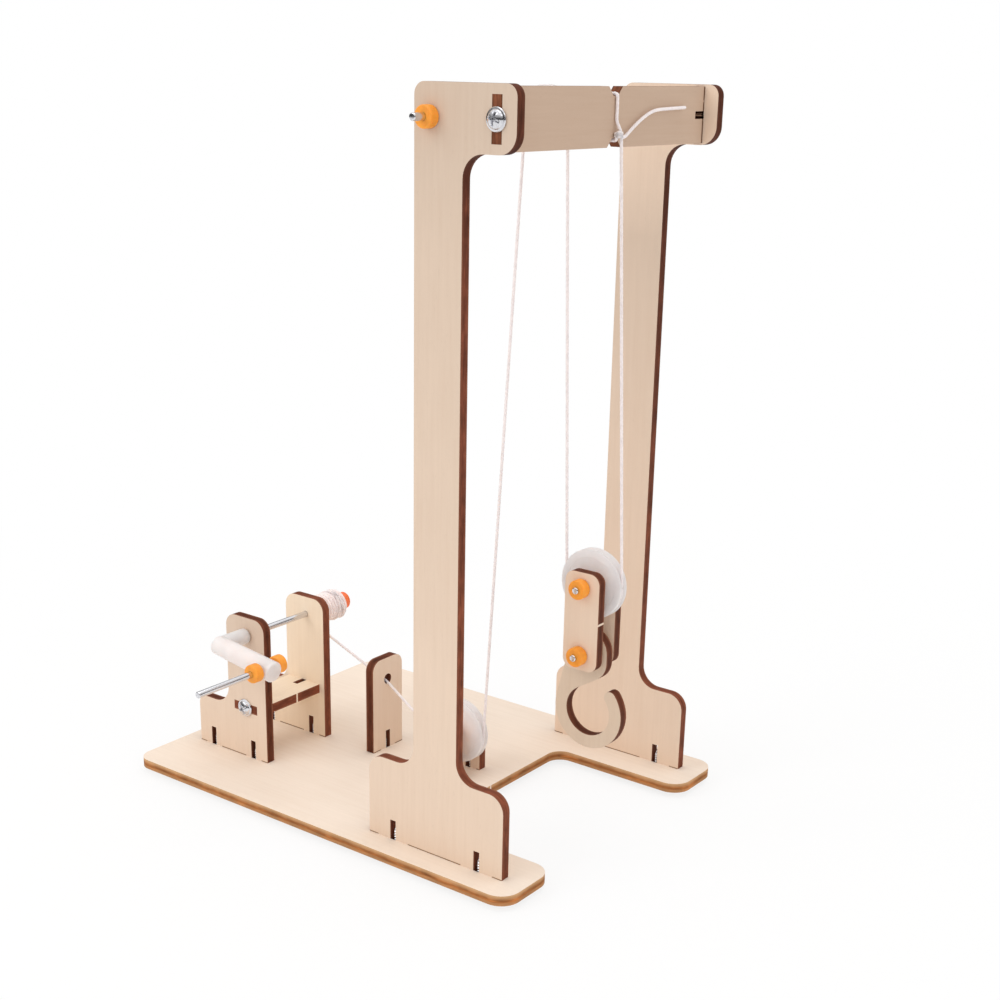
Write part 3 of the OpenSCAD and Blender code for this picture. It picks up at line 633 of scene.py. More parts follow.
def cotton(name, colour):
    """Dull cotton with fine fibres."""
    finish = Finish(name)
    fibres = finish.noise(finish.stretched("Z", 0.35), 4200.0, 3.0, 0.65)
    clouds = finish.noise(finish.stretched(), 500.0, 2.0, 0.5)
    tone = finish.shades(
        finish.sums("MULTIPLY_ADD", fibres, 0.6, finish.sums("MULTIPLY", clouds, 0.4)),
        [(0.34, darker(colour, 0.82)), (0.58, colour)],
    )
    finish.feed(finish.shader, Base_Color=tone)
    finish.feed(finish.shader, Roughness=finish.sums("MULTIPLY_ADD", fibres, 0.15, 0.8))
    finish.shader.inputs["Sheen Weight"].default_value = 0.3
    finish.shader.inputs["Subsurface Weight"].default_value = 0.5
    finish.shader.inputs["Subsurface Radius"].default_value = (0.0012, 0.0011, 0.001)
    finish.shader.inputs["Subsurface Scale"].default_value = 1.0
    finish.shader.inputs["Specular IOR Level"].default_value = 0.15
    finish.relief(fibres, 0.4, 0.00006)
    return finish.material


# Each finish: how it is made, the settings that hold its colour, the colour's name and what else it needs
FINISHES = {
    "soft orange plastic": (soft_plastic, "crane_plastic", "bushing_colour"),
    "soft red plastic": (soft_plastic, "crane_plastic", "spool_bushing_colour"),
    "milky plastic": (milky_plastic, "crane_plastic", "moulded_colour"),
    "rosy milky plastic": (milky_plastic, "crane_plastic", "crank_colour"),
    "drawn steel": (steel, "crane_steel", "rod_colour", "Y", False),
    "plated steel": (steel, "crane_steel", "rod_colour", "Z", True),
    # Painted shade and reflection on the threads in the crossbeam
    "sooty steel": (steel, "crane_steel", "sooty_colour", "Z", True),
    "cotton string": (cotton, "crane_string", "colour"),
    "slack cotton string": (cotton, "crane_string", "slack_colour"),
}


def finished(name):
    """The finish of that name, made once."""
    make, group, key, *more = FINISHES[name]
    colour = getattr(getattr(bpy.context.scene, group), key)
    return bpy.data.materials.get(name) or make(name, colour, *more)


def closed_mesh(name, points, faces):
    """A mesh whose doubled points are joined and whose faces look outwards."""
    mesh = bpy.data.meshes.new(name)
    mesh.from_pydata([tuple(p) for p in points], [], faces)
    form = bmesh.new()
    form.from_mesh(mesh)
    bmesh.ops.remove_doubles(form, verts=form.verts, dist=1e-7)
    bmesh.ops.recalc_face_normals(form, faces=form.faces)
    form.to_mesh(mesh)
    form.free()
    return mesh


def make_piece(name, points, faces, material, body, nodes=(), crease=35.0):
    """A piece of the crane from its points and faces, riding on a body and standing for CAD nodes."""
    mesh = closed_mesh(name, points, faces)
    mesh.shade_smooth()
    mesh.set_sharp_from_angle(angle=math.radians(crease))
    mesh.materials.append(material)
    piece = bpy.data.objects.new(name, mesh)
    bpy.context.scene.collection.objects.link(piece)
    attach(piece, body)
    if nodes:
        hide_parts(*nodes)
    return piece


def solids_in(node):
    """The boxes of the separate solids of a CAD node, from low X to high X."""
    form = bmesh.new()
    form.from_mesh(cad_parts[node].data)
    bmesh.ops.remove_doubles(form, verts=form.verts, dist=1e-6)
    waiting = set(form.verts)
    boxes = []
    while waiting:
        reached = [waiting.pop()]
        low, high = reached[0].co.copy(), reached[0].co.copy()
        while reached:
            vertex = reached.pop()
            low = Vector(map(min, low, vertex.co))
            high = Vector(map(max, high, vertex.co))
            for link in vertex.link_edges:
                other = link.other_vert(vertex)
                if other in waiting:
                    waiting.remove(other)
                    reached.append(other)
        boxes.append((low, high))
    form.free()
    return sorted(boxes, key=lambda box: tuple(round(value, 5) for value in box[0]))


def eased(corners, steps=6):
    """An outline whose corners, given as [a, b, radius], are rounded by their radius."""
    points = []
    count = len(corners)
    for index, (a, b, radius) in enumerate(corners):
        here = Vector((a, b))
        if radius <= 0:
            points.append(here)
            continue
        before = (Vector(corners[index - 1][:2]) - here).normalized()
        after = (Vector(corners[(index + 1) % count][:2]) - here).normalized()
        half = before.angle(after) / 2
        reach = radius / math.tan(half)
        centre = here + (before + after).normalized() * radius / math.sin(half)
        start = here + before * reach - centre
        sweep = start.angle_signed(here + after * reach - centre)
        for step in range(steps + 1):
            turned = start.copy()
            turned.rotate(Matrix.Rotation(-sweep * step / steps, 2))
            points.append(centre + turned)
    return points


def turned_ring(profile, centre, sides=56):
    """A closed profile of radius and distance along Y, turned round the Y axis through centre."""
    points, faces = [], []
    count = len(profile)
    for side in range(sides):
        angle = 2 * PI * side / sides
        for radius, along in profile:
            points.append(Vector((
                centre.x + radius * math.cos(angle), centre.y + along, centre.z + radius * math.sin(angle))))
    for side in range(sides):
        for index in range(count):
            a = side * count + index
            b = side * count + (index + 1) % count
            c = ((side + 1) % sides) * count + (index + 1) % count
            d = ((side + 1) % sides) * count + index
            faces.append((a, b, c, d))
    return points, faces


def joined(parts):
    """Several meshes as one list of points and one of faces."""
    points, faces = [], []
    for more_points, more_faces in parts:
        start = len(points)
        points.extend(more_points)
        faces.extend(tuple(start + index for index in face) for face in more_faces)
    return points, faces


def grid_faces(rows, columns, wrap=True):
    """The four-sided faces of a grid of points, closed round its columns."""
    faces = []
    for row in range(rows - 1):
        for column in range(columns if wrap else columns - 1):
            after = (column + 1) % columns
            faces.append((
                row * columns + column, row * columns + after,
                (row + 1) * columns + after, (row + 1) * columns + column))
    return faces


PLATES = {
    "base_plate": ("Z", "X"),
    "near_upright": ("Y", "Z"),
    "far_upright": ("Y", "Z"),
    "crossbeam": ("X", "Y"),
    "winch_near_plate": ("Y", "Z"),
    "winch_far_plate": ("Y", "Z"),
    "winch_shelf": ("Z", "Y"),
    "guide_plate": ("X", "Z"),
    "near_bracket": ("Y", "Z"),
    "far_bracket": ("Y", "Z"),
    "front_link": ("Y", "Z"),
    "rear_link": ("Y", "Z"),
    "hook": ("Y", "Z"),
}
DARK_EDGED = ("hook", "front_link", "rear_link", "winch_near_plate", "guide_plate")


def tabs(axis, places, width):
    """Stretches along an axis at which tabs of a width go through the base plate, all in millimetres."""
    return [(axis, place * MM, width * MM / 2) for place in places]


TABS = {
    "near_upright": tabs("X", (27, 57), 11),
    "far_upright": tabs("X", (27, 57), 11),
    "winch_near_plate": tabs("X", (-61.1, -43.3), 6.8),
    "winch_far_plate": tabs("X", (-61.1, -43.3), 6.8),
    "near_bracket": tabs("X", (13.1,), 6.8),
    "far_bracket": tabs("X", (13.1,), 6.8),
    "guide_plate": tabs("Y", (0,), 6.8),
}


def bridges():
    """Where the laser left a bridge uncut on a cut edge."""
    half = 0.3 * MM
    shelf_y = -17.7 * MM
    fork_x, fork_y = 27.1 * MM, -2 * MM
    return {
        "winch_shelf": [("Y", shelf_y, half), ("X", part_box("winch_shelf")[1].x, half)],
        "front_link": [("Z", middle("front_link").z, half), ("X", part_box("front_link")[1].x, half)],
        "base_plate": [("Y", fork_y, half), ("X", fork_x, half)],
    }


class CRANE_OT_plywood(bpy.types.Operator):
    """Finish the laser-cut plywood"""

    bl_idname = "crane.plywood"
    bl_label = "Plywood"

    def execute(self, context):
        wood = context.scene.crane_wood
        left_uncut = bridges()
        faces = {
            # The base plate's colour is partly painted light from above
            "base_plate": wood.board_colour_with_painted_light,
            # Painted light brightens the shaded shelf and far winch plate
            "winch_shelf": wood.pale_painted_light_colour,
            "winch_far_plate": wood.pale_painted_light_colour,
            "crossbeam": wood.beam_colour,
            "hook": wood.hook_colour,
        }
        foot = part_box("base_plate")[1].z
        line = 0.3 * MM
        beam_soot_and_shadow_line = 0.66 * MM
        upright_face = -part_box("near_upright")[1].y
        for node, (across, along) in PLATES.items():
            face = faces.get(node, wood.face_colour)
            edge = wood.board_edge_colour if node == "base_plate" else wood.edge_colour
            rim = wood.board_rim_colour if node == "base_plate" else wood.rim_colour
            if node == "crossbeam":
                edge, rim = wood.tab_colour, wood.soot_and_gap_shadow_colour
            if node in DARK_EDGED:
                edge = wood.dark_edge_colour
            soot = [("Z", foot, line)] if node in TABS else []
            # The crossbeam's line at the upright is partly soot and partly painted shadow in the gap of the
            # joint
            if node == "crossbeam":
                soot = [("Y", upright_face, beam_soot_and_shadow_line)]
            low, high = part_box(node)
            place = "XYZ".index(across)
            rims = LYING_RIMS if node == "base_plate" else STANDING_RIMS
            material = plywood(
                f"birch {node.replace('_', ' ')}", across, along, (face, edge, rim), wood,
                (low[place], high[place]), rims, left_uncut.get(node), soot, TABS.get(node, ()),
                PAINTED_SHADE_BY_HEIGHT.get(node))
            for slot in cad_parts[node].material_slots:
                slot.material = material
        return {"FINISHED"}


ROD_BODIES = {
    "top_shaft": "frame",
    "bracket_shaft": "frame",
    "winch_shaft": "winch",
    "handle_rod": "handle",
    "upper_pin": "block",
    "lower_pin": "block",
}


class CRANE_OT_rods(bpy.types.Operator):
    """Turn the steel rods, with rounded ends"""

    bl_idname = "crane.rods"
    bl_label = "Rods"

    def execute(self, context):
        chamfer = context.scene.crane_steel.rod_chamfer
        for node, body in ROD_BODIES.items():
            low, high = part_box(node)
            radius = half_height(node)
            centre = Vector((middle(node).x, 0, middle(node).z))
            core = radius * 0.02
            profile = eased([
                (core, low.y, 0), (radius, low.y, chamfer), (radius, high.y, chamfer), (core, high.y, 0)], 5)
            points, faces = turned_ring(profile, centre, 32)
            make_piece(f"rod_{node}", points, faces, finished("drawn steel"), body, [node])
        return {"FINISHED"}


BUSHING_BODIES = {
    "top_bushings": "frame",
    "top_collars": "frame",
    "bracket_bushings": "frame",
    "spool_bushing": "winch",
    "handle_bushings": "handle",
    "block_bushings": "block",
}


class CRANE_OT_bushings(bpy.types.Operator):
    """Cut the orange bushings that hold the pieces on the rods"""

    bl_idname = "crane.bushings"
    bl_label = "Bushings"

    def execute(self, context):
        edge = context.scene.crane_plastic.bushing_edge
        bore = half_height("top_shaft") + 0.01 * MM
        mouth = 0.04 * MM
        for node, body in BUSHING_BODIES.items():
            rings = []
            for low, high in solids_in(node):
                radius = (high.z - low.z) / 2
                centre = Vector(((low.x + high.x) / 2, (low.y + high.y) / 2, (low.z + high.z) / 2))
                half = (high.y - low.y) / 2
                profile = eased([
                    (bore, mouth - half, 0),
                    (bore + mouth, -half, 0),
                    (radius, -half, edge),
                    (radius, half, edge),
                    (bore + mouth, half, 0),
                    (bore, half - mouth, 0)])
                rings.append(turned_ring(profile, centre))
            points, faces = joined(rings)
            finish = finished("soft red plastic" if node == "spool_bushing" else "soft orange plastic")
            make_piece(f"bushing_{node}", points, faces, finish, body, [node])
        return {"FINISHED"}


def screw_form(settings, head_radius, head_height, length, radius):
    """A washer-head screw with its thread along +Z and its washer's underside at zero."""
    washer = 0.6 * MM
    dome = head_radius - 0.55 * MM
    dome_foot = washer + 0.08 * MM
    arm_half = 0.34 * MM
    arm_reach = dome * 0.74
    sides = 72

    def recess(x, y):
        def arm(a, b):
            wide = min(1, max(0, (arm_half - abs(b)) / (0.16 * MM)))
            long = min(1, max(0, (arm_reach - abs(a)) / (0.3 * MM)))
            return wide * long
        return settings.recess_depth * max(arm(x, y), arm(y, x))

    rows = [
        (radius, 0.0),
        (head_radius - 0.12 * MM, 0.0),
        (head_radius, -0.14 * MM),
        (head_radius, -washer + 0.2 * MM),
        (head_radius - 0.16 * MM, -washer),
        (dome, -dome_foot)]
    flat_rows = len(rows)
    dome_steps = 16
    for step in range(1, dome_steps + 1):
        share = step / dome_steps
        reach = dome * (1 - share) + 0.02 * MM * share
        rise = (head_height - dome_foot) * math.sqrt(max(0, 1 - (reach / dome) ** 2)) ** 1.3
        rows.append((reach, -dome_foot - rise))
    points = []
    for index, (reach, height) in enumerate(rows):
        for side in range(sides):
            angle = 2 * PI * side / sides
            x, y = reach * math.cos(angle), reach * math.sin(angle)
            sunk = recess(x, y) if index >= flat_rows else 0
            points.append(Vector((x, y, height + sunk)))
    faces = grid_faces(len(rows), sides)
    faces.append(tuple((len(rows) - 1) * sides + side for side in range(sides)))
    head = (points, faces)

    thread_sides = 20
    per_turn = 8
    turns = length / settings.thread_pitch
    count = int(turns * per_turn)
    points = []
    taper = 1.6 * MM
    for row in range(count + 1):
        height = length * row / count
        narrow = min(1, (length - height) / taper + 0.12)
        for side in range(thread_sides):
            angle = 2 * PI * side / thread_sides
            phase = (height / settings.thread_pitch - side / thread_sides) % 1
            ridge = max(0, 1 - abs(phase - 0.5) * 4)
            reach = (radius - settings.thread_depth * (1 - ridge)) * narrow
            points.append(Vector((reach * math.cos(angle), reach * math.sin(angle), height)))
    faces = grid_faces(count + 1, thread_sides)
    faces.append(tuple(count * thread_sides + side for side in range(thread_sides)))
    return joined([head, (points, faces)])


class CRANE_OT_screws(bpy.types.Operator):
    """Drive the washer-head screws"""

    bl_idname = "crane.screws"
    bl_label = "Screws"

    def execute(self, context):
        settings = context.scene.crane_steel
        chance = random.Random(7)
        head_height = 1.8 * MM
        shank_radius = 0.95 * MM
        for node in ("base_screws", "beam_screws", "shelf_screws"):
            parts = []
            for low, high in solids_in(node):
                size = high - low
                along = max(range(3), key=lambda axis: size[axis])
                wide = max(size[axis] for axis in range(3) if axis != along)
                shank = size[along] - head_height
                spot = (low + high) / 2
                near_side = node == "base_screws" or spot[along] < middle(node)[along]
                way = Vector((0, 0, 0))
                way[along] = 1 if near_side else -1
                spot[along] = low[along] + head_height if near_side else high[along] - head_height
                points, faces = screw_form(settings, wide / 2, head_height, shank, shank_radius)
                spin = Matrix.Rotation(chance.uniform(0, PI), 3, "Z")
                turn = way.to_track_quat("Z", "Y").to_matrix() @ spin
                parts.append(([turn @ point + spot for point in points], faces))
            points, faces = joined(parts)
            piece = make_piece(
                f"driven_{node}", points, faces, finished("plated steel"), "frame", [node], 28.0)
            if node == "beam_screws":
                self.paint_thread_shade(piece)
        return {"FINISHED"}

    def paint_thread_shade(self, piece):
        """The threads inside the slots of the crossbeam get a darker brownish steel: painted shade and a
        painted reflection of the burnt walls around them.
        """
        piece.data.materials.append(finished("sooty steel"))
        plate_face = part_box("far_upright")[1].y
        for polygon in piece.data.polygons:
            if abs(polygon.center.y) < plate_face:
                polygon.material_index = 1


def rod_between(start, stop, radius, round_start, round_stop, sides=40, widen=0.0):
    """A rod from start to stop, each end rounded by its own radius; it can widen towards stop."""
    way = (stop - start).normalized()
    length = (stop - start).length
    turn = way.to_track_quat("Y", "Z").to_matrix()
    core = radius * 0.02
    profile = eased([
        (core, 0, 0), (radius, 0, round_start), (radius + widen, length, round_stop), (core, length, 0)], 8)
    points, faces = turned_ring(profile, Vector((0, 0, 0)), sides)
    return [turn @ point + start for point in points], faces


def cut_bore(piece, start, stop, radius):
    """Takes a round hole from start to stop out of a piece."""
    points, faces = rod_between(start, stop, radius, 0, 0, 48)
    tool = bpy.data.objects.new("bore", closed_mesh("bore", points, faces))
    bpy.context.scene.collection.objects.link(tool)
    modifier = piece.modifiers.new("bore", "BOOLEAN")
    modifier.operation = "DIFFERENCE"
    modifier.solver = "EXACT"
    modifier.object = tool
    fix_modifiers(piece)
    bpy.data.objects.remove(tool)


def fix_modifiers(piece):
    """Makes a piece's modifiers part of its mesh."""
    bpy.context.view_layer.update()
    view = bpy.context.evaluated_depsgraph_get()
    mesh = bpy.data.meshes.new_from_object(piece.evaluated_get(view))
    piece.modifiers.clear()
    piece.data = mesh


class CRANE_OT_crank(bpy.types.Operator):
    """Mould the crank: a sleeve on the winch rod that turns the corner into the arm"""

    bl_idname = "crane.crank"
    bl_label = "Crank"

    def execute(self, context):
        settings = context.scene.crane_plastic
        low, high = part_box("crank")
        shaft = middle("winch_shaft")
        handle = middle("handle_rod")
        arm_radius = 3.1 * MM
        sleeve_radius = 2.5 * MM
        heel = 1.0 * MM
        overshoot = 3.4 * MM
        swell = 0.15 * MM
        arm_y = low.y + arm_radius
        corner = Vector((shaft.x, arm_y, shaft.z))
        tip = Vector((handle.x, arm_y, handle.z))
        way = (tip - corner).normalized()
        heel_round = 0.7 * MM
        tip_round = 0.5 * MM
        arm = rod_between(
            corner - way * heel, tip + way * overshoot, arm_radius - swell, heel_round, tip_round,
            widen=2 * swell)
        sleeve_end = Vector((shaft.x, high.y, shaft.z))
        sleeve = rod_between(corner, sleeve_end, sleeve_radius, 0.3 * MM, 0.4 * MM)
        points, faces = joined([arm, sleeve])
        finish = finished("rosy milky plastic")
        piece = make_piece("moulded_crank", points, faces, finish, "winch", ["crank"])
        remesh = piece.modifiers.new("form", "REMESH")
        remesh.mode = "VOXEL"
        remesh.voxel_size = settings.crank_voxel
        smooth = piece.modifiers.new("blend", "SMOOTH")
        smooth.factor = 0.5
        smooth.iterations = settings.crank_blend
        fix_modifiers(piece)
        rod_radius = half_height("winch_shaft")
        along = Vector((0, 1, 0))
        floor = 0.7 * MM
        past = 5 * MM
        cut_bore(piece, corner + along * floor, sleeve_end + along * MM, rod_radius + 0.03 * MM)
        cut_bore(piece, tip - along * past, tip + along * past, rod_radius + 0.05 * MM)
        piece.data.shade_smooth()
        piece.data.set_sharp_from_angle(angle=math.radians(50))
        return {"FINISHED"}


PULLEY_BODIES = {
    "top_pulley": "top_wheel",
    "bottom_pulley": "bottom_wheel",
    "block_pulley": "block_wheel",
}


class CRANE_OT_pulleys(bpy.types.Operator):
    """Mould the grooved pulleys"""

    bl_idname = "crane.pulleys"
    bl_label = "Pulleys"

    def execute(self, context):
        bore = half_height("top_shaft") + 0.05 * MM
        half_rim = 1.5 * MM
        groove = 1.4 * MM
        lip = 0.35 * MM
        floor = 0.6 * MM
        sunk = 0.12 * MM
        for node, body in PULLEY_BODIES.items():
            low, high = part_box(node)
            radius = half_height(node)
            half_hub = (high.y - low.y) / 2
            hub = 2.8 * MM
            web_in = hub + 0.7 * MM
            web_out = radius - 2.3 * MM
            fine = 0.08 * MM
            one_side = [
                (bore, half_hub, fine), (hub, half_hub, fine * 2), (hub, half_rim + fine, 0),
                (web_in, half_rim - sunk, fine * 2), (web_out, half_rim - sunk, fine * 3),
                (web_out + sunk, half_rim, fine * 2), (radius, half_rim, fine * 1.5),
                (radius, half_rim - lip, fine), (radius - groove, floor, fine * 3)]
            other_side = [(reach, -along, ease) for reach, along, ease in reversed(one_side)]
            profile = eased(one_side + other_side, 4)
            points, faces = turned_ring(profile, middle(node), 96)
            make_piece(
                f"grooved_{node}", points, faces, finished("milky plastic"), body, [node])
        return {"FINISHED"}


def ply_radius(angle, turn, depth):
    """The radius of a three-ply string at an angle, as a share; the hollows are depth deep."""
    return 1 - depth + depth * abs(math.cos(1.5 * (angle - turn))) ** 0.8


def string_form(route, settings, thickness=1.0, depth=0.16, sides=15, step=0.28 * MM):
    """A twisted three-ply string along a dense route, as points and faces."""
    spots = [route[0].copy()]
    left = step
    for start, stop in zip(route, route[1:]):
        length = (stop - start).length
        if length < 1e-9:
            continue
        done = 0.0
        while length - done >= left:
            done += left
            spots.append(start.lerp(stop, done / length))
            left = step
        left -= length - done
    if (spots[-1] - route[-1]).length > step * 0.3:
        spots.append(route[-1].copy())
    points = []
    side = Vector((0, 1, 0))
    for index, spot in enumerate(spots):
        way = (spots[min(index + 1, len(spots) - 1)] - spots[max(index - 1, 0)]).normalized()
        side = side - way * side.dot(way)
        if side.length < 1e-6:
            side = way.orthogonal()
        side.normalize()
        other = way.cross(side)
        turn = 2 * PI * index * step / settings.lay
        for column in range(sides):
            angle = 2 * PI * column / sides
            reach = settings.radius * thickness * ply_radius(angle, turn, depth)
            points.append(spot + side * (reach * math.cos(angle)) + other * (reach * math.sin(angle)))
    faces = grid_faces(len(spots), sides)
    faces.append(tuple(range(sides)))
    faces.append(tuple((len(spots) - 1) * sides + column for column in range(sides)))
    return points, faces


def string_piece(name, points, faces, body, node, finish="cotton string"):
    """A stretch of string that stands for the CAD's own, with its plies kept rounded."""
    return make_piece(name, points, faces, finished(finish), body, [node], 60.0)


def arc(centre, radius, start, stop, y=0.0, steps=28):
    """Points round an axis along Y, between two angles in degrees measured from +X towards +Z."""
    points = []
    for step in range(steps + 1):
        angle = math.radians(start + (stop - start) * step / steps)
        points.append(Vector((centre.x + radius * math.cos(angle), y, centre.z + radius * math.sin(angle))))
    return points


def bent(points, radius, steps=6):
    """A route whose corners are rounded."""
    route = [points[0].copy()]
    for before, here, after in zip(points, points[1:], points[2:]):
        reach = min(radius, (before - here).length / 2, (after - here).length / 2)
        start = here + (before - here).normalized() * reach
        stop = here + (after - here).normalized() * reach
        for step in range(steps + 1):
            share = step / steps
            route.append(start * (1 - share) ** 2 + here * (2 * share * (1 - share)) + stop * share ** 2)
    route.append(points[-1].copy())
    return route


def heading(start, stop):
    return math.degrees(math.atan2(stop.z - start.z, stop.x - start.x))


def flat_distance(start, stop):
    return math.hypot(stop.x - start.x, stop.z - start.z)


class StringLine:
    """The angles and places at which the string meets the spool, the guide and the pulleys."""

    def __init__(self, settings):
        self.radius = settings.radius
        inset = settings.line_inset
        snug = 0.1 * MM
        self.spool = middle("spool_core")
        self.bottom = middle("bottom_pulley")
        self.top = middle("top_pulley")
        self.block = middle("block_pulley")
        self.wind_radius = half_height("spool_core") + snug + settings.radius
        self.line_radius = half_height("bottom_pulley") - inset
        self.top_radius = half_height("top_pulley") - inset
        up_low, up_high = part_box("string_up_fall")
        guide_low, guide_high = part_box("guide_plate")
        thickness = guide_high.x - guide_low.x
        slope_share = 0.4
        self.guide = Vector(settings.guide_pass)
        self.guide_back = self.guide + Vector((-thickness, 0, thickness * slope_share))
        self.knot = Vector(settings.knot)
        self.knot_foot = Vector((up_low.x + settings.radius, 0, up_high.z))
        self.lead_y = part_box("spool_core")[0].y + settings.radius + snug
        self.reel_angle = heading(self.spool, self.guide_back) + self.lean(
            self.wind_radius, self.spool, self.guide_back)
        self.lead_angle = heading(self.guide, self.bottom) - self.lean(
            self.line_radius, self.guide, self.bottom)
        both = self.line_radius + self.top_radius
        self.rise_angle = heading(self.bottom, self.top) + self.lean(both, self.bottom, self.top)
        self.fall_angle = heading(self.top, self.block) - self.lean(both, self.top, self.block)
        self.lift_angle = heading(self.block, self.knot_foot) + self.lean(
            self.line_radius, self.block, self.knot_foot)

    @staticmethod
    def lean(offset, start, stop):
        return math.degrees(math.asin(offset / flat_distance(start, stop)))

    def rim(self, centre, radius, angle):
        return arc(centre, radius, angle, angle, steps=1)[0]


class CRANE_OT_string_lead(bpy.types.Operator):
    """Run the string from the spool through the guide and over the two fixed pulleys"""

    bl_idname = "crane.string_lead"
    bl_label = "String run"

    def execute(self, context):
        settings = context.scene.crane_string
        line = StringLine(settings)
        reel_wrap = 70
        start = line.reel_angle - 90
        route = arc(line.spool, line.wind_radius, start - reel_wrap, start, line.lead_y)
        route += bent([route[-1], line.guide_back, line.guide,
                       line.rim(line.bottom, line.line_radius, line.lead_angle - 90)], 1.5 * MM)[1:]
        route += arc(line.bottom, line.line_radius, line.lead_angle - 90, line.rise_angle - 90)[1:]
        route += arc(line.top, line.top_radius, line.rise_angle + 90, line.fall_angle + 90)
        points, faces = string_form(route, settings)
        string_piece("string_run", points, faces, "frame", "string_lead")
        return {"FINISHED"}


class CRANE_OT_string_falls(bpy.types.Operator):
    """Hang the two falls of string that shorten as the hook block rises"""

    bl_idname = "crane.string_falls"
    bl_label = "String falls"

    def execute(self, context):
        settings = context.scene.crane_string
        line = StringLine(settings)
        falls = {
            "string_down_fall": (
                line.rim(line.top, line.top_radius, line.fall_angle + 90),
                line.rim(line.block, line.line_radius, line.fall_angle - 90)),
            "string_up_fall": (
                line.knot_foot,
                line.rim(line.block, line.line_radius, line.lift_angle - 90)),
        }
        for node, (high, low) in falls.items():
            points, faces = string_form([high, low], settings)
            piece = string_piece(f"twisted_{node}", points, faces, "frame", node)
            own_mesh(piece)
        return {"FINISHED"}


class CRANE_OT_string_block_loop(bpy.types.Operator):
    """Lay the string under the pulley of the hook block"""

    bl_idname = "crane.string_block_loop"
    bl_label = "Block loop"

    def execute(self, context):
        settings = context.scene.crane_string
        line = StringLine(settings)
        route = arc(line.block, line.line_radius, line.fall_angle - 90, line.lift_angle - 90, steps=60)
        points, faces = string_form(route, settings)
        string_piece("string_under_block", points, faces, "block", "string_block_loop")
        return {"FINISHED"}


# Points of the loose end in millimetres, counted from the knot
TAIL_ROUTE = [
    (-0.2, 1.8, -0.6), (-0.4, 3.7, -0.4), (-0.4, 7.2, 1.7), (-0.4, 10.2, 3.3), (-0.4, 13.6, 4.8),
    (-0.4, 17, 5.8), (-0.4, 20, 6.1), (-0.4, 26, 6.3), (-0.4, 33, 6.5),
]


class CRANE_OT_string_tie(bpy.types.Operator):
    """Tie the string round the crossbeam, with its knot and its loose end"""

    bl_idname = "crane.string_tie"
    bl_label = "Tie and knot"

    def execute(self, context):
        settings = context.scene.crane_string
        line = StringLine(settings)
        low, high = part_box("crossbeam")
        knot = line.knot
        snug = settings.radius + 0.1 * MM
        notch = 2.3 * MM
        front = high.x + snug
        back = low.x - snug
        top = high.z - notch + snug
        bottom = low.z + notch - snug
        lap = 0.45 * MM
        round_beam = bent([
            line.knot_foot,
            Vector((knot.x + 0.8 * MM, 0, knot.z - 0.4 * MM)),
            Vector((knot.x + 0.2 * MM, lap, knot.z + 1.1 * MM)),
            Vector((front, 0, knot.z + 3.4 * MM)),
            Vector((front, 0, top)),
            Vector((back, 0, top)),
            Vector((back, 0, bottom)),
            Vector((front, 0, bottom)),
            Vector((knot.x - 0.1 * MM, -0.85 * MM, bottom + 0.45 * MM))], 0.8 * MM)
        coil_radius = 0.8 * MM
        coil_turns = 2.5
        coil_top = 0.7 * MM
        coil_drop = 1.15 * MM
        coil_steps = 24
        count = int(coil_turns * coil_steps)
        coil = []
        for step in range(count + 1):
            angle = -PI / 2 + 2 * PI * step / coil_steps
            coil.append(Vector((
                knot.x + coil_radius * math.cos(angle),
                coil_radius * math.sin(angle),
                knot.z + coil_top - coil_drop * step / count)))
        tail = bent([coil[-1]] + [knot + Vector(spot) * MM for spot in TAIL_ROUTE], 1.6 * MM)
        points, faces = string_form(round_beam + coil[1:] + tail[1:], settings)
        string_piece("string_tied", points, faces, "frame", "string_tie")
        return {"FINISHED"}


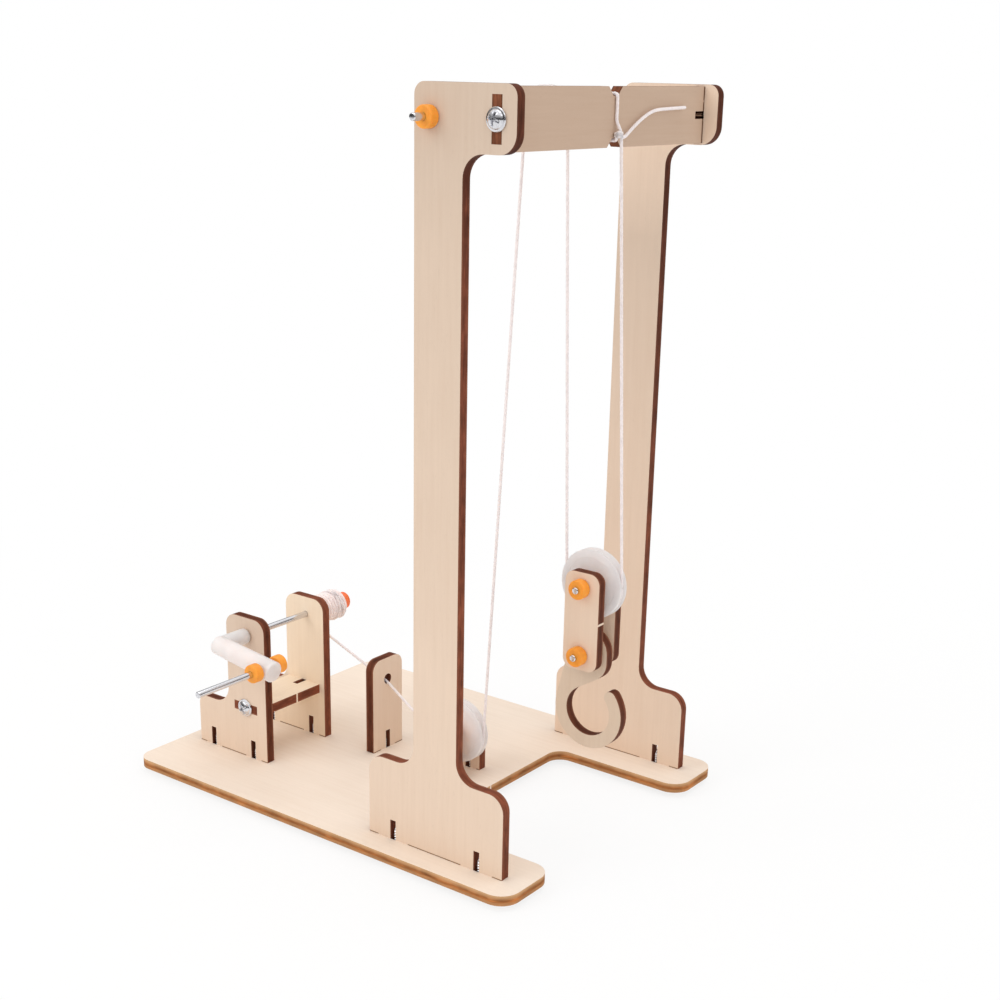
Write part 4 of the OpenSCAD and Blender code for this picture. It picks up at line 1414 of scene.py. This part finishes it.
class CRANE_OT_spool(bpy.types.Operator):
    """Turn the spool core and wind the string on it"""

    bl_idname = "crane.spool"
    bl_label = "Spool"

    def execute(self, context):
        settings = context.scene.crane_string
        line = StringLine(settings)
        low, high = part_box("spool_core")
        radius = half_height("spool_core")
        bore = half_height("winch_shaft") + 0.03 * MM
        centre = Vector((line.spool.x, 0, line.spool.z))
        ease = 0.35 * MM
        lip = 0.1 * MM
        profile = eased([
            (bore, low.y, lip), (radius, low.y, ease), (radius, high.y, ease), (bore, high.y, lip)])
        points, faces = turned_ring(profile, centre)
        finish = finished("milky plastic")
        make_piece("turned_spool", points, faces, finish, "winch", ["spool_core"])
        start = line.reel_angle - 90
        first_y = line.lead_y + settings.loop_pitch
        steps = 48
        chance = random.Random(11)
        uneven = 0.1 * MM
        jitter = [chance.uniform(-1, 1) * uneven for _ in range(settings.loops + 2)]
        route = []
        for step in range(settings.loops * steps + 1):
            turns = step / steps
            shift = jitter[int(turns)] * (1 - turns % 1) + jitter[int(turns) + 1] * (turns % 1)
            angle = math.radians(start - 360 * turns)
            route.append(Vector((
                line.spool.x + line.wind_radius * math.cos(angle),
                first_y + settings.loop_pitch * turns + shift,
                line.spool.z + line.wind_radius * math.sin(angle))))
        # A slack second layer lies over the loops at the far end, where the string's end sticks out
        second_turns = 2
        climb = 0.4
        second_radius = line.wind_radius + settings.radius * 0.7
        end_y = route[-1].y
        reach = 3.6 * MM
        wander = 0.5 * MM
        wander_rate = 2.4
        for step in range(1, second_turns * steps + 1):
            turns = step / steps
            share = min(1, turns / climb)
            wave = wander * math.sin(wander_rate * turns * PI)
            back_and_forth = reach * math.sin(PI * turns / second_turns)
            angle = math.radians(start - 360 * (settings.loops + turns))
            layer = line.wind_radius + (second_radius - line.wind_radius) * share
            route.append(Vector((
                line.spool.x + layer * math.cos(angle),
                end_y - back_and_forth + wave * share,
                line.spool.z + layer * math.sin(angle))))
        sticking = 2.4 * MM
        loose = (route[-1] - route[-2]).normalized()
        outward = (route[-1] - Vector((line.spool.x, route[-1].y, line.spool.z))).normalized()
        route.append(route[-1] + loose * 0.5 * sticking + outward * 0.2 * sticking)
        route.append(route[-1] + loose * 0.4 * sticking + outward * 0.4 * sticking)
        slack = 1.6
        shallow = 0.03
        points, faces = string_form(route, settings, slack, shallow)
        string_piece("wound_string", points, faces, "winch", "spool_winding", "slack cotton string")
        return {"FINISHED"}


class CRANE_OT_stage(bpy.types.Operator):
    """Set the camera, the floor, the lamps and the world"""

    bl_idname = "crane.stage"
    bl_label = "Stage"

    def execute(self, context):
        scene = context.scene
        settings = scene.crane_stage
        self.set_camera(scene, settings)
        self.set_floor(scene, settings)
        self.set_flag(scene)
        self.set_lights(scene)
        scene.view_settings.view_transform = "Standard"
        return {"FINISHED"}

    def set_camera(self, scene, settings):
        yaw, pitch, roll = settings.camera_yaw, settings.camera_pitch, settings.camera_roll
        back = Vector((
            math.sin(yaw) * math.cos(pitch), -math.cos(yaw) * math.cos(pitch), math.sin(pitch)))
        right = Vector((math.cos(yaw), math.sin(yaw), 0))
        up = back.cross(right)
        rolled_right = right * math.cos(roll) + up * math.sin(roll)
        rolled_up = up * math.cos(roll) - right * math.sin(roll)
        data = bpy.data.cameras.new("photo camera")
        data.sensor_width = 36
        data.lens = settings.lens
        data.shift_y = settings.lens_rise
        data.clip_start = 0.01
        data.clip_end = 50
        camera = bpy.data.objects.new("photo camera", data)
        scene.collection.objects.link(camera)
        camera.matrix_world = Matrix((
            (rolled_right.x, rolled_up.x, back.x, settings.camera_place[0]),
            (rolled_right.y, rolled_up.y, back.y, settings.camera_place[1]),
            (rolled_right.z, rolled_up.z, back.z, settings.camera_place[2]),
            (0, 0, 0, 1)))
        scene.camera = camera

    def set_floor(self, scene, settings):
        rest = CAD_BOX[0].z
        half = 4.0
        mesh = bpy.data.meshes.new("floor")
        mesh.from_pydata(
            [(-half, -half, rest), (half, -half, rest), (half, half, rest), (-half, half, rest)], [],
            [(0, 1, 2, 3)])
        floor = bpy.data.objects.new("floor", mesh)
        scene.collection.objects.link(floor)
        finish = Finish("plain floor")
        place = finish.coordinates.outputs["Object"]
        distance = finish.add("ShaderNodeVectorMath", operation="LENGTH")
        finish.tree.links.new(place, distance.inputs[0])
        grains = finish.noise(place, 300.0, 2.0)
        pale = settings.floor_colour
        tone = finish.shades(grains, [(0.3, darker(pale, 0.99)), (0.7, pale)])
        finish.feed(finish.shader, Base_Color=tone)
        finish.shader.inputs["Roughness"].default_value = 0.9
        finish.shader.inputs["Specular IOR Level"].default_value = 0.0
        white = finish.add("ShaderNodeEmission")
        path = finish.add("ShaderNodeLightPath")
        seen = finish.sums("MAXIMUM", path.outputs["Is Camera Ray"], path.outputs["Is Glossy Ray"])
        seen = finish.sums("MAXIMUM", seen, path.outputs["Is Transmission Ray"])
        fade = finish.add("ShaderNodeMapRange")
        finish.feed(fade, From_Min=0.14, From_Max=0.34, To_Min=0.8, To_Max=1.0)
        finish.tree.links.new(distance.outputs["Value"], fade.inputs["Value"])
        share = finish.sums("MULTIPLY", seen, fade.outputs["Result"])
        mix = finish.add("ShaderNodeMixShader")
        finish.tree.links.new(share, mix.inputs[0])
        finish.tree.links.new(finish.shader.outputs["BSDF"], mix.inputs[1])
        finish.tree.links.new(white.outputs["Emission"], mix.inputs[2])
        output = next(node for node in finish.tree.nodes if node.type == "OUTPUT_MATERIAL")
        finish.tree.links.new(mix.outputs["Shader"], output.inputs["Surface"])
        mesh.materials.append(finish.material)

    def set_flag(self, scene):
        """A band of card round the table, dark at its foot, that only reflections see."""
        radius = 1.6
        low = 0.1
        high = 1.25
        sides = 48
        points = []
        for side in range(sides):
            angle = 2 * PI * side / sides
            for height in (low, high):
                points.append((radius * math.cos(angle), radius * math.sin(angle), height))
        faces = []
        for side in range(sides):
            after = (side + 1) % sides
            faces.append((2 * side, 2 * side + 1, 2 * after + 1, 2 * after))
        mesh = bpy.data.meshes.new("dark card")
        mesh.from_pydata(points, [], faces)
        finish = Finish("dark card")
        height = finish.axis(finish.coordinates.outputs["Object"], "Z")
        finish.feed(finish.shader, Base_Color=finish.shades(height, greys([(0.35, 0.02), (1.0, 0.55)])))
        finish.shader.inputs["Roughness"].default_value = 1.0
        finish.shader.inputs["Specular IOR Level"].default_value = 0.0
        mesh.materials.append(finish.material)
        card = bpy.data.objects.new("dark card", mesh)
        scene.collection.objects.link(card)
        card.visible_camera = False
        card.visible_diffuse = False
        card.visible_transmission = False
        card.visible_volume_scatter = False
        card.visible_shadow = False

    def set_lights(self, scene):
        world = bpy.data.worlds.new("plain studio")
        world.use_nodes = True
        tree = world.node_tree
        tree.nodes.clear()
        output = tree.nodes.new("ShaderNodeOutputWorld")
        soft = tree.nodes.new("ShaderNodeBackground")
        soft.inputs["Color"].default_value = (1.0, 0.985, 0.97, 1)
        soft.inputs["Strength"].default_value = 0.78
        white = tree.nodes.new("ShaderNodeBackground")
        white.inputs["Color"].default_value = (1, 1, 1, 1)
        white.inputs["Strength"].default_value = 1.0
        path = tree.nodes.new("ShaderNodeLightPath")
        mirrored = tree.nodes.new("ShaderNodeMath")
        mirrored.operation = "MAXIMUM"
        tree.links.new(path.outputs["Is Glossy Ray"], mirrored.inputs[0])
        tree.links.new(path.outputs["Is Transmission Ray"], mirrored.inputs[1])
        seen = tree.nodes.new("ShaderNodeMath")
        seen.operation = "MAXIMUM"
        tree.links.new(path.outputs["Is Camera Ray"], seen.inputs[0])
        tree.links.new(mirrored.outputs[0], seen.inputs[1])
        mix = tree.nodes.new("ShaderNodeMixShader")
        tree.links.new(seen.outputs[0], mix.inputs[0])
        tree.links.new(soft.outputs[0], mix.inputs[1])
        tree.links.new(white.outputs[0], mix.inputs[2])
        tree.links.new(mix.outputs[0], output.inputs["Surface"])
        scene.world = world
        lamps = {
            "key": ((-0.8, -1.6, 1.3), 1.4, 11.5),
            "fill": ((1.8, -0.6, 1.1), 1.4, 3.6),
            "top": ((0.2, 0.3, 2.4), 1.6, 13.5),
        }
        aim = Vector((0, 0, 0.09))
        for name, (place, size, power) in lamps.items():
            data = bpy.data.lights.new(name, "AREA")
            data.shape = "SQUARE"
            data.size = size
            data.energy = power
            lamp = bpy.data.objects.new(name, data)
            lamp.location = place
            lamp.rotation_mode = "QUATERNION"
            lamp.rotation_quaternion = (aim - Vector(place)).to_track_quat("-Z", "Y")
            scene.collection.objects.link(lamp)


class CRANE_PT_panel(bpy.types.Panel):
    """Shows the crane's settings and a button for each step that builds it"""

    bl_label = "Hand crane model"
    bl_idname = "CRANE_PT_panel"
    bl_space_type = "VIEW_3D"
    bl_region_type = "UI"
    bl_category = "Crane"

    def draw(self, context):
        for name, label in GROUPS.items():
            box = self.layout.box()
            box.label(text=label)
            settings = getattr(context.scene, name)
            for key in settings.bl_rna.properties.keys():
                if key not in ("rna_type", "name"):
                    box.prop(settings, key)
        for operator in OPERATORS:
            self.layout.operator(operator.bl_idname)


GROUPS = {
    "crane_stage": "Stage",
    "crane_wood": "Plywood",
    "crane_plastic": "Plastic",
    "crane_steel": "Steel",
    "crane_string": "String",
}
SETTINGS = {
    "crane_stage": CraneStageSettings,
    "crane_wood": CraneWoodSettings,
    "crane_plastic": CranePlasticSettings,
    "crane_steel": CraneSteelSettings,
    "crane_string": CraneStringSettings,
}
OPERATORS = (
    CRANE_OT_stage,
    CRANE_OT_plywood,
    CRANE_OT_rods,
    CRANE_OT_bushings,
    CRANE_OT_screws,
    CRANE_OT_crank,
    CRANE_OT_pulleys,
    CRANE_OT_spool,
    CRANE_OT_string_lead,
    CRANE_OT_string_falls,
    CRANE_OT_string_block_loop,
    CRANE_OT_string_tie,
)


def register():
    for name, group in SETTINGS.items():
        bpy.utils.register_class(group)
        setattr(bpy.types.Scene, name, bpy.props.PointerProperty(type=group))
    for operator in OPERATORS:
        bpy.utils.register_class(operator)
    bpy.utils.register_class(CRANE_PT_panel)


def unregister():
    bpy.utils.unregister_class(CRANE_PT_panel)
    for operator in reversed(OPERATORS):
        bpy.utils.unregister_class(operator)
    for name, group in SETTINGS.items():
        delattr(bpy.types.Scene, name)
        bpy.utils.unregister_class(group)


def main():
    register()
    for operator in OPERATORS:
        group, name = operator.bl_idname.split(".")
        getattr(getattr(bpy.ops, group), name)()


if __name__ == "__main__":
    main()
